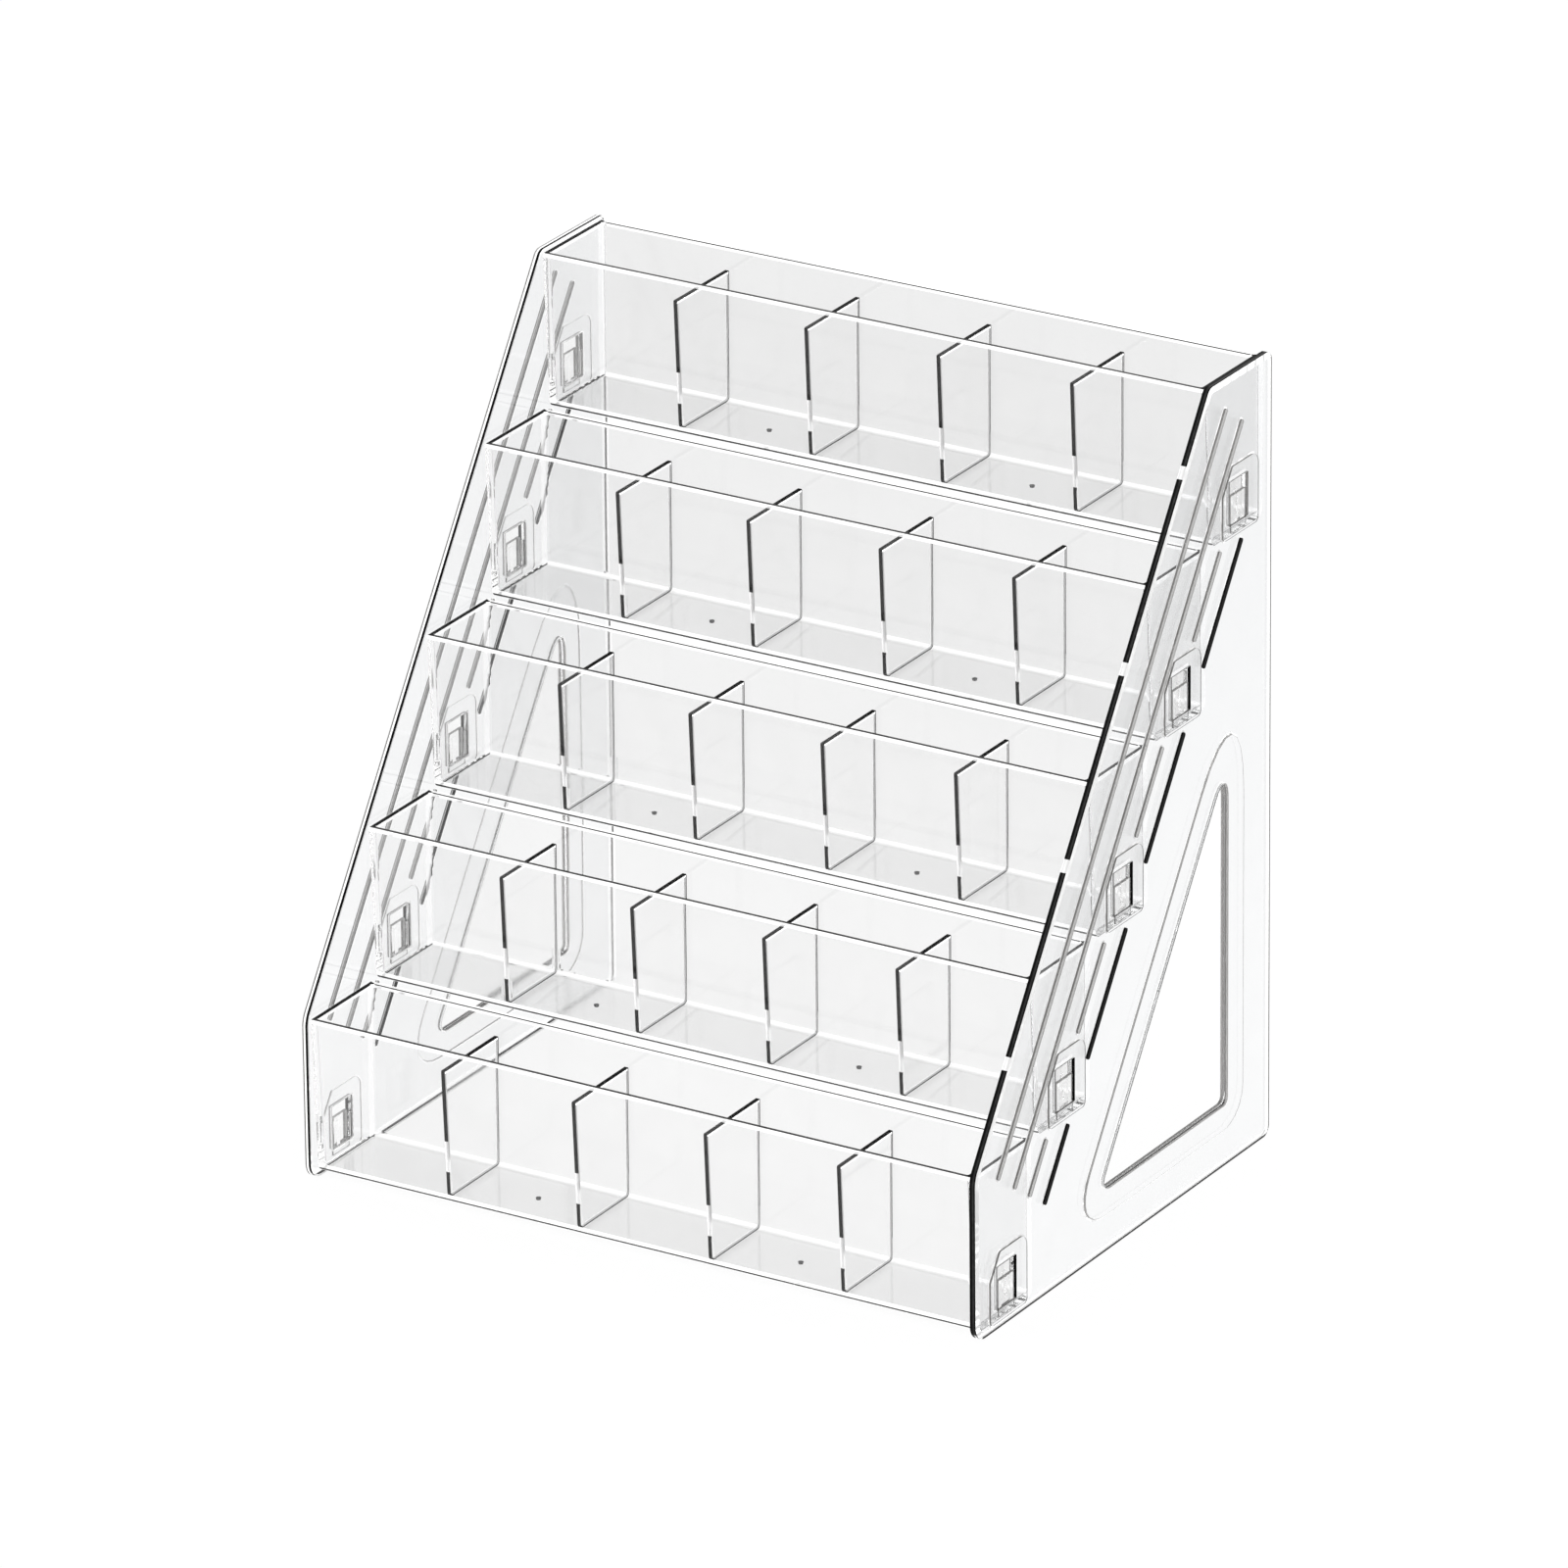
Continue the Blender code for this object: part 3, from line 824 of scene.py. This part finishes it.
@dataclass
class TrayHook:
    """Hook on a tray end: two blades through the socket and a plate that drops over its sill."""

    tray: Tray
    side: Side
    setback: float = 0.0149
    depth: float = 0.0116
    lift: float = 0.0023
    blade_lift: float = 0.0058
    head: float = 0.0173
    blade: float = 0.0024
    sill: float = 0.0013
    clearance: float = 0.0003
    rounding: float = 0.00018

    def span(self, near: float, far: float) -> tuple[float, float]:
        """Low and high x of a span on this side."""
        low, high = sorted((self.side.value * near, self.side.value * far))
        return low, high

    def add(self, bm: bmesh.types.BMesh) -> None:
        """Add the hook to its tray's mesh.

        Args:
            bm: The tray's mesh.
        """
        frame, low = self.tray.frame, self.tray.low
        plate_near = frame.panel_inner() + self.sill + self.clearance
        plate_far = frame.panel_outer() + frame.relief - self.clearance
        y_low = low.y + self.setback
        y_high = y_low + self.depth
        x_low, x_high = self.span(plate_near, plate_far)
        plate = add_block(bm, Vector((x_low, y_low, low.z + self.lift)),
                          Vector((x_high, y_high, low.z + self.head)), self.rounding)
        self.dress(plate, Zone.FAINT)
        x_low, x_high = self.span(self.tray.high.x - self.tray.wall / 2, (plate_near + plate_far) / 2)
        starts = (y_low + self.clearance, y_high - self.blade - self.clearance)
        for start in starts:
            blade = add_block(bm, Vector((x_low, start, low.z + self.blade_lift)),
                              Vector((x_high, start + self.blade, low.z + self.head - self.clearance)),
                              self.rounding)
            self.dress(blade, Zone.RIB)

    @staticmethod
    def dress(faces: Sequence, edge_zone: Zone) -> None:
        """Leave the faces across X clear and darken the others; on the plate this darkening is painted shade.
        """
        for face in faces:
            face.material_index = Zone.FACE if abs(face.normal.x) > MOSTLY_FACING else edge_zone


# -------------------------------------------------------------------------------------------- side panels


@dataclass
class SidePanel:
    """Side panel with beads, socket pads, sockets and a framed three-cornered window."""

    frame: RackFrame
    palette: Palette
    side: Side
    foot_radius: float = 0.0070
    corner_radius: float = 0.0040
    bend_radius: float = 0.0100
    back_margin: float = 0.0040
    bead_setbacks: tuple[float, ...] = (0.0166, 0.0314, 0.0448, 0.0582)
    bead_width: float = 0.0022
    bead_roundness: float = 0.46
    bead_start: float = 0.0040
    bead_end_margin: float = 0.0120
    bead_socket_gap: float = 0.0035
    bead_least_run: float = 0.0080
    beads_before_pads: int = 2
    pad_setback: float = 0.0088
    pad_width: float = 0.0270
    pad_lift: float = 0.0006
    pad_height: float = 0.0285
    pad_bead_gap: float = 0.0018
    pad_radii: tuple[float, ...] = (0.0022, 0.0022, 0.0050, 0.0010, 0.0010)
    socket_setback: float = 0.0136
    socket_width: float = 0.0142
    socket_lift: float = 0.0020
    socket_height: float = 0.0215
    sill_height: float = 0.0035
    window_margins: tuple[float, float, float] = (0.099, 0.0338, 0.026)
    window_radii: tuple[float, float, float] = (0.0040, 0.0030, 0.0050)
    frame_widths: tuple[float, float, float] = (0.0126, 0.0123, 0.0105)
    frame_radii: tuple[float, float, float] = (0.0140, 0.0150, 0.0176)
    # edge_gap gives the painted highlight stretches of the slope; halo, rim_line, rim_halo, outer_line and
    # inner_line place painted highlight strips and painted shade lines.
    edge_gap: tuple[float, float] = (0.0362, 0.0405)
    relief_rounding: float = 0.0003
    halo: float = 0.0007
    rim_line: float = 0.0009
    rim_halo: float = 0.0020
    arris: float = 0.0003
    outer_line: float = 0.0006
    inner_line: float = 0.0011
    arc_steps: int = 8

    def __post_init__(self) -> None:
        """Read the panel's box and the lines that its shapes follow."""
        self.low, self.high = self.frame.panel_box(self.side)
        self.bend = Vector((self.low.y, self.frame.tray_box(1)[1].z))
        self.slope = self.frame.slope()
        self.inwards = Vector((self.slope.y, -self.slope.x))

    @property
    def name(self) -> str:
        """Node that this panel stands for."""
        return f"{self.side.word}_side_panel"

    def on_slope(self, height: float, inset: float = 0.0) -> Vector:
        """Point at a height on the sloped edge, or on a line inset from it."""
        base = self.bend + self.inwards * inset
        return base + self.slope * (height - base.y) / self.slope.y

    def outline(self) -> list[Corner]:
        """Outer edge, with bare points where the slope's painted shade gives way to painted highlight
        stretches.

        Returns:
            Corners in order.
        """
        corners = self.inset_outline(0)
        bare = []
        for tier in range(TIERS, 1, -1):
            underside = self.frame.tray_box(tier)[0].z
            for lift in reversed(self.edge_gap):
                point = self.on_slope(underside + lift)
                bare.append(Corner(point.x, point.y))
        return corners[:-1] + bare + corners[-1:]

    def inset_outline(self, inset: float) -> list[Corner]:
        """Outline of the panel, or a line inset from it all round.

        Args:
            inset: Distance in from the edge.

        Returns:
            Five rounded corners.
        """
        radius = self.corner_radius - inset
        head = self.on_slope(self.high.z - inset, inset)
        base = self.bend + self.inwards * inset
        front = self.low.y + inset
        turn = base.y + self.slope.y * (front - base.x) / self.slope.x
        back = self.high.y - inset
        return [Corner(front, self.low.z + inset, self.foot_radius - inset),
                Corner(back, self.low.z + inset, radius), Corner(back, self.high.z - inset, radius),
                Corner(head.x, head.y, radius), Corner(front, turn, self.bend_radius)]

    def window(self, grow: tuple[float, float, float], radii: tuple[float, float, float]) -> list[Corner]:
        """Three-cornered window, grown outwards on its slope, back and foot sides.

        Args:
            grow: Growth on each side.
            radii: Radii of the front foot, rear foot and apex.

        Returns:
            Three corners.
        """
        slope_margin, back_margin, foot_margin = self.window_margins
        base = self.bend + self.inwards * (slope_margin - grow[0])
        back = self.high.y - back_margin + grow[1]
        foot = foot_margin - grow[2]
        front = base.x + self.slope.x * (foot - base.y) / self.slope.y
        apex = base.y + self.slope.y * (back - base.x) / self.slope.x
        return [Corner(front, foot, radii[0]), Corner(back, foot, radii[1]), Corner(back, apex, radii[2])]

    def rectangle(self, low: Vector, high: Vector, radius: float) -> list[Corner]:
        """Upright rectangle in (y, z) with rounded corners."""
        return [Corner(low.x, low.y, radius), Corner(high.x, low.y, radius),
                Corner(high.x, high.y, radius), Corner(low.x, high.y, radius)]

    def pad_span(self, tier: int) -> tuple[Vector, Vector]:
        """Low and high (y, z) corners of a socket pad."""
        tray_low = self.frame.tray_box(tier)[0]
        low = Vector((tray_low.y + self.pad_setback, tray_low.z + self.pad_lift))
        return low, low + Vector((self.pad_width, self.pad_height))

    def socket_span(self, tier: int) -> tuple[Vector, Vector]:
        """Low and high (y, z) corners of a through socket, over its sill."""
        tray_low = self.frame.tray_box(tier)[0]
        low = Vector((tray_low.y + self.socket_setback, tray_low.z + self.socket_lift + self.sill_height))
        return low, low + Vector((self.socket_width, self.socket_height - self.sill_height))

    def pad_corners(self, tier: int) -> list[Corner]:
        """Pad behind a socket, its front top corner cut along the bead that passes it.

        Args:
            tier: 1 for the lowest.

        Returns:
            Five rounded corners.
        """
        low, high = self.pad_span(tier)
        setback = self.bead_setbacks[self.beads_before_pads - 1] + self.bead_width / 2 + self.pad_bead_gap
        head = self.on_slope(high.y, setback)
        foot = head.y + self.slope.y * (low.x - head.x) / self.slope.x
        places = ((low.x, low.y), (high.x, low.y), (high.x, high.y), (head.x, high.y), (low.x, foot))
        return [Corner(*place, radius) for place, radius in zip(places, self.pad_radii)]

    def bead_runs(self, row: int) -> list[tuple[Vector, float, float]]:
        """Runs of one bead along the slope; those behind the sockets stop short of their pads.

        Args:
            row: 0 for the bead nearest the slope.

        Returns:
            Base point, start and stop of each run.
        """
        first, base = (self.bend + self.inwards * self.bead_setbacks[index] for index in (0, row))
        start = self.bead_start
        limit = (self.high.z - self.bead_end_margin - first.y) / self.slope.y
        stop = min(limit, (self.high.y - self.back_margin - self.bead_end_margin - base.x) / self.slope.x)
        runs = []
        for tier in range(1, TIERS + 1 if row >= self.beads_before_pads else 1):
            low, high = self.pad_span(tier)
            enter = max((low.x - base.x) / self.slope.x, (low.y - base.y) / self.slope.y)
            leave = min((high.x - base.x) / self.slope.x, (high.y - base.y) / self.slope.y)
            if enter >= leave or leave < start or enter > stop:
                continue
            if enter - self.bead_socket_gap - start > self.bead_least_run:
                runs.append((base, start, enter - self.bead_socket_gap))
            start = leave + self.bead_socket_gap
        if stop - start > self.bead_least_run:
            runs.append((base, start, stop))
        return runs

    def bead_corners(self, base: Vector, start: float, stop: float) -> list[Corner]:
        """Round-ended bar along the slope."""
        half = self.inwards * self.bead_width / 2
        radius = self.bead_width * self.bead_roundness
        points = [base + self.slope * start - half, base + self.slope * start + half,
                  base + self.slope * stop + half, base + self.slope * stop - half]
        return [Corner(point.x, point.y, radius) for point in points]

    def plate(self, bm: bmesh.types.BMesh) -> tuple[list, list[list]]:
        """Model the flat plate with its window and sockets, open on the outer face.

        Args:
            bm: Mesh to model in.

        Returns:
            Faces of the inner face, and the boundary loops left at the outer face: the perimeter, the
            window, then the sockets from the lowest up.
        """
        inner = self.side.value * self.frame.panel_inner()
        loops = draw_outline(bm, self.outline(), inner, self.arc_steps)
        loops += draw_outline(bm, self.window((0, 0, 0), self.window_radii), inner, self.arc_steps)
        for tier in range(1, TIERS + 1):
            loops += draw_outline(bm, self.rectangle(*self.socket_span(tier), self.arris), inner, 2)
        inner_faces = fill_flat(bm, loops)
        moved, walls = extrude_along_x(bm, inner_faces, self.side.value * self.frame.panel_thickness)
        bmesh.ops.delete(bm, geom=moved, context="FACES")
        # Edge walls start as painted shade; the cuts mark painted shade lines beside the inner and outer
        # faces.
        paint(walls, Zone.BLACK)
        for distance in (self.frame.panel_inner() + self.inner_line,
                         self.frame.panel_outer() - self.outer_line):
            cut_across(bm, ACROSS * self.side.value * distance, ACROSS)
        return inner_faces, self.sorted_loops(bm)

    @staticmethod
    def sorted_loops(bm: bmesh.types.BMesh) -> list[list]:
        """Boundary loops: the two tallest first, then the others from the lowest up."""
        left = {edge for edge in bm.edges if edge.is_boundary}
        loops = []
        while left:
            edge = left.pop()
            loop, front = [edge], list(edge.verts)
            while front:
                vert = front.pop()
                for other in vert.link_edges:
                    if other in left:
                        left.discard(other)
                        loop.append(other)
                        front.extend(other.verts)
            loops.append(loop)

        def reach(loop: list) -> tuple[float, float]:
            """Lowest and highest z of a loop."""
            heights = [vert.co.z for edge in loop for vert in edge.verts]
            return min(heights), max(heights)

        loops.sort(key=lambda loop: reach(loop)[0] - reach(loop)[1])
        return loops[:2] + sorted(loops[2:], key=lambda loop: reach(loop)[0])

    def raise_relief(self, bm: bmesh.types.BMesh, faces: Sequence, top: Zone, wall: Zone) -> None:
        """Raise faces of the outer side and round their top edges.

        Args:
            bm: Mesh that holds them.
            faces: Faces to raise.
            top: Zone of the raised faces.
            wall: Zone of the walls under them.
        """
        moved, walls = extrude_along_x(bm, faces, self.side.value * self.frame.relief)
        bmesh.ops.delete(bm, geom=list(faces), context="FACES")
        paint(moved, top)
        paint(walls, wall)
        edges = [edge for edge in border_edges(moved)
                 if any(face in set(walls) for face in edge.link_faces)]
        paint(round_edges(bm, edges, self.relief_rounding, 2), wall)

    def outer_face(self, bm: bmesh.types.BMesh, loops: list[list]) -> None:
        """Close the outer side with its beads, pads and window frame, with painted shade lines on the rim,
        beads and relief walls and painted highlight strips round them.

        Args:
            bm: Mesh with an open outer side.
            loops: Perimeter, window and socket loops there.
        """
        outer = self.side.value * self.frame.panel_outer()
        perimeter, window, sockets = loops[0], loops[1], loops[2:]
        line = draw_outline(bm, self.inset_outline(self.rim_line), outer, self.arc_steps)
        rim = draw_outline(bm, self.inset_outline(self.rim_halo), outer, self.arc_steps)
        frame = draw_outline(bm, self.window(self.frame_widths, self.frame_radii), outer, self.arc_steps)
        pads = [draw_outline(bm, self.pad_corners(tier), outer, self.arc_steps)
                for tier in range(1, TIERS + 1)]
        beads = []
        for row in range(len(self.bead_setbacks)):
            for run in self.bead_runs(row):
                beads.append((row, draw_outline(bm, self.bead_corners(*run), outer, self.arc_steps)))
        plain = fill_flat(bm, rim + frame + sum(pads, []) + sum((bead for _, bead in beads), []))
        # Painted highlight strip inside the rim line.
        paint(fill_flat(bm, line + rim), Zone.HIGHLIGHT)
        # Rim line: painted shade at the foot and back, painted highlight elsewhere.
        for face in fill_flat(bm, perimeter + line):
            face.material_index = self.rim_zone(face.calc_center_median())
        # Window frame and pads: clear tops, walls in painted shade.
        raised = [(fill_flat(bm, frame + window), Zone.FACE, Zone.FAINT)]
        raised += [(fill_flat(bm, pad + socket), Zone.FACE, Zone.SOFT) for pad, socket in zip(pads, sockets)]
        # Beads: painted shade, darkest on the last row.
        last = len(self.bead_setbacks) - 1
        for row, bead in beads:
            top, wall = (Zone.BLACK, Zone.BLACK) if row == last else (Zone.FAINT, Zone.SOFT)
            raised.append((fill_flat(bm, bead), top, wall))
        bmesh.ops.recalc_face_normals(bm, faces=bm.faces)
        # Painted highlight strips round every outline of the plain face.
        strips = bmesh.ops.inset_region(bm, faces=plain, thickness=self.halo, use_boundary=True,
                                        use_even_offset=True)["faces"]
        paint(strips, Zone.HIGHLIGHT)
        for faces, top, wall in raised:
            self.raise_relief(bm, faces, top, wall)

    def rim_zone(self, centre: Vector) -> Zone:
        """Finish of the outermost line of the outer face: painted shade, dark at the foot and grey at the
        back, and painted highlight elsewhere.

        Args:
            centre: Middle of a face on that line.

        Returns:
            Its zone.
        """
        if centre.z < self.low.z + self.rim_line:
            return Zone.SMOKE
        return Zone.SOFT if centre.y > self.high.y - self.rim_line else Zone.HIGHLIGHT

    def is_perimeter(self, edge: bmesh.types.BMEdge) -> bool:
        """Whether an edge lies on the panel's outer outline, between a broad face and an edge face."""
        if len(edge.link_faces) != 2:
            return False
        broad = [abs(face.normal.x) > HALF_FACING for face in edge.link_faces]
        if broad[0] == broad[1]:
            return False
        middle = (edge.verts[0].co + edge.verts[1].co) / 2
        offset = (Vector((middle.y, middle.z)) - self.bend).dot(self.inwards)
        reach = self.corner_radius
        return (middle.z < self.low.z + reach or middle.z > self.high.z - reach or offset < reach
                or middle.y > self.high.y - reach or middle.y < self.low.y + reach)

    def edge_zone(self, face: bmesh.types.BMFace) -> Zone:
        """Finish of a face on the panel's outer outline: painted shade lines with painted highlight stretches
        between them.

        Args:
            face: The face.

        Returns:
            Its zone.
        """
        centre, normal = face.calc_center_median(), face.normal
        line = self.line_at(abs(centre.x))
        if normal.z < -HALF_FACING:
            return Zone.HIGHLIGHT if line is Zone.FACE else Zone.SMOKE
        if normal.y > HALF_FACING:
            return Zone.SOFT if line is Zone.SOFT else Zone.HIGHLIGHT
        if self.side is Side.LEFT:
            return {Zone.BLACK: Zone.BLACK, Zone.SOFT: Zone.SOFT}.get(line, Zone.HIGHLIGHT)
        if self.in_edge_gap(centre):
            return Zone.HIGHLIGHT
        return Zone.MOTTLED_SHADE if line is Zone.FACE else Zone.BLACK

    def line_at(self, distance: float) -> Zone:
        """Which painted shade line of an edge face lies at a distance from the rack's middle.

        Args:
            distance: Distance along X from the middle.

        Returns:
            BLACK for the inner line, SOFT for the outer one and FACE between them.
        """
        if distance < self.frame.panel_inner() + self.inner_line:
            return Zone.BLACK
        return Zone.SOFT if distance > self.frame.panel_outer() - self.outer_line else Zone.FACE

    def hole_zone(self, face: bmesh.types.BMFace) -> Zone:
        """Finish of a wall of the window or of a socket: painted shade lines, clear between them.

        Args:
            face: The face.

        Returns:
            Its zone.
        """
        centre, normal = face.calc_center_median(), face.normal
        line = self.line_at(abs(centre.x))
        if self.on_window(centre):
            if line is Zone.FACE:
                return Zone.FACE
            looks_up = normal.z > MOSTLY_FACING
            dark, pale = (Zone.SMOKE, Zone.SOFT) if looks_up else (Zone.SOFT, Zone.FAINT)
            return dark if line is Zone.SOFT else pale
        if line is Zone.SOFT:
            in_top_tier = centre.z > self.frame.tray_box(TIERS)[0].z
            return Zone.BLACK if normal.y < -MOSTLY_FACING and not in_top_tier else Zone.SOFT
        return Zone.FAINT if normal.y > MOSTLY_FACING and line is Zone.BLACK else Zone.FACE

    def on_window(self, centre: Vector) -> bool:
        """Whether a wall's middle lies on the window and not on a socket, which is nearer the slope."""
        offset = (Vector((centre.y, centre.z)) - self.bend).dot(self.inwards)
        return offset > self.window_margins[0] - self.window_radii[2]

    def on_hole(self, face: bmesh.types.BMFace) -> bool:
        """Whether a face is a wall of the window or of a socket."""
        if abs(face.normal.x) > HALF_FACING:
            return False
        centre = face.calc_center_median()
        if face.material_index == Zone.BLACK and self.on_window(centre):
            return True
        for tier in range(1, TIERS + 1):
            low, high = self.socket_span(tier)
            if low.x - TINY < centre.y < high.x + TINY and low.y - TINY < centre.z < high.y + TINY:
                return True
        return False

    def in_edge_gap(self, centre: Vector) -> bool:
        """Whether a point of the slope lies in one of its painted highlight stretches."""
        for tier in range(2, TIERS + 1):
            underside = self.frame.tray_box(tier)[0].z
            if self.edge_gap[0] < centre.z - underside < self.edge_gap[1]:
                return True
        return False

    def make(self) -> bpy.types.Object:
        """Make the panel, which rides on the rack."""
        bm = bmesh.new()
        inner_faces, loops = self.plate(bm)
        self.outer_face(bm, loops)
        # Painted highlight strips round the inner face's outlines.
        strips = bmesh.ops.inset_region(bm, faces=inner_faces, thickness=self.halo, use_boundary=True,
                                        use_even_offset=True)["faces"]
        paint(strips, Zone.HIGHLIGHT)
        perimeter = [edge for edge in bm.edges if self.is_perimeter(edge)]
        arris = set(round_edges(bm, perimeter, self.arris, 1))
        bmesh.ops.recalc_face_normals(bm, faces=bm.faces)
        # Perimeter, hole and edge faces get their painted shade and painted highlight zones.
        for face in bm.faces:
            if face in arris or (face.material_index == Zone.BLACK and self.on_outline(face)):
                face.material_index = self.edge_zone(face)
            elif self.on_hole(face):
                face.material_index = self.hole_zone(face)
        piece = finish_mesh(bm, f"{self.name}_moulding", self.palette.row(zone_finishes(Palette.PANEL)))
        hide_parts(self.name)
        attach(piece, RACK_BODY)
        return piece

    def on_outline(self, face: bmesh.types.BMFace) -> bool:
        """Whether an edge face belongs to the outer outline and not to a hole or a bead."""
        if abs(face.normal.x) > HALF_FACING:
            return False
        return any(self.is_outline_point(vert.co) for vert in face.verts)

    def is_outline_point(self, point: Vector) -> bool:
        """Whether a point lies on the outer outline."""
        offset = (Vector((point.y, point.z)) - self.bend).dot(self.inwards)
        reach = self.corner_radius
        return (point.z < self.low.z + reach or point.z > self.high.z - reach or offset < reach / 2
                or point.y > self.high.y - reach or point.y < self.low.y + reach / 2)


# ----------------------------------------------------------------------------------------- studio, camera


@dataclass
class Studio:
    """Plain pale floor, even white light all round and the camera."""

    azimuth: float = 31.465
    elevation: float = 22.767
    roll: float = -0.595
    lens: float = 328.3
    position: tuple[float, float, float] = (2.6197, -4.2815, 2.2621)
    floor_half: float = 9.0
    floor_drop: float = 0.0003
    floor_tone: float = 0.06
    floor_glow: float = 0.955
    world_light: float = 1.0

    def add_camera(self) -> None:
        """Aim a long lens at the rack."""
        azimuth, elevation = math.radians(self.azimuth), math.radians(self.elevation)
        back = Vector((math.sin(azimuth) * math.cos(elevation), -math.cos(azimuth) * math.cos(elevation),
                       math.sin(elevation)))
        right = Vector((math.cos(azimuth), math.sin(azimuth), 0))
        turn = Matrix.Rotation(math.radians(self.roll), 3, back)
        axes = Matrix((turn @ right, turn @ back.cross(right), back)).transposed().to_4x4()
        data = bpy.data.cameras.new("studio_camera")
        data.lens = self.lens
        data.clip_end = 50
        camera = bpy.data.objects.new("studio_camera", data)
        bpy.context.scene.collection.objects.link(camera)
        camera.matrix_world = Matrix.Translation(self.position) @ axes
        bpy.context.scene.camera = camera

    def add_floor(self) -> None:
        """Lay a pale floor under the rack."""
        bm = bmesh.new()
        bmesh.ops.create_grid(bm, x_segments=1, y_segments=1, size=self.floor_half,
                              matrix=Matrix.Translation((0, 0, -self.floor_drop)))
        material = bpy.data.materials.new("pale_floor")
        material.use_nodes = True
        shader = material.node_tree.nodes["Principled BSDF"]
        shader.inputs["Base Color"].default_value = (*grey(self.floor_tone), 1)
        shader.inputs["Roughness"].default_value = 1.0
        shader.inputs["Specular IOR Level"].default_value = 0.0
        shader.inputs["Emission Color"].default_value = (1, 1, 1, 1)
        shader.inputs["Emission Strength"].default_value = self.floor_glow
        finish_mesh(bm, "studio_floor", [material])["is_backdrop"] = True

    def add_light(self) -> None:
        """Light the room evenly in white."""
        world = bpy.data.worlds.new("studio_world")
        world.use_nodes = True
        background = world.node_tree.nodes["Background"]
        background.inputs["Color"].default_value = (1, 1, 1, 1)
        background.inputs["Strength"].default_value = self.world_light
        bpy.context.scene.world = world

    def set_light_paths(self) -> None:
        """Let light pass through all the clear walls that stand behind each other."""
        scene = bpy.context.scene
        scene.view_settings.view_transform = "Standard"
        scene.cycles.max_bounces = 40
        scene.cycles.transmission_bounces = 40
        scene.cycles.glossy_bounces = 16
        scene.cycles.diffuse_bounces = 4
        scene.cycles.transparent_max_bounces = 64
        scene.cycles.caustics_refractive = True

    def make(self) -> None:
        """Set up camera, floor and light."""
        self.add_camera()
        self.add_floor()
        self.add_light()
        self.set_light_paths()


# ------------------------------------------------------------------------------------------------- script


def report(piece: bpy.types.Object) -> None:
    """Log a finished piece."""
    LOG.info("%s: %d faces", piece.name, len(piece.data.polygons))


def main() -> None:
    """Build every piece around the frame and set up the studio."""
    logging.basicConfig(level=logging.INFO, format="%(name)s: %(message)s")
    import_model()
    cad_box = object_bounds()
    frame = RackFrame()
    palette = Palette(cad_box[1].z)
    Studio().make()
    for side in Side:
        report(SidePanel(frame, palette, side).make())
    for tier in range(1, TIERS + 1):
        report(Tray(frame, palette, tier).make())
        for station in range(1, STATIONS + 1):
            report(DividerPlate(frame, palette, tier, station).make())


if __name__ == "__main__":
    main()
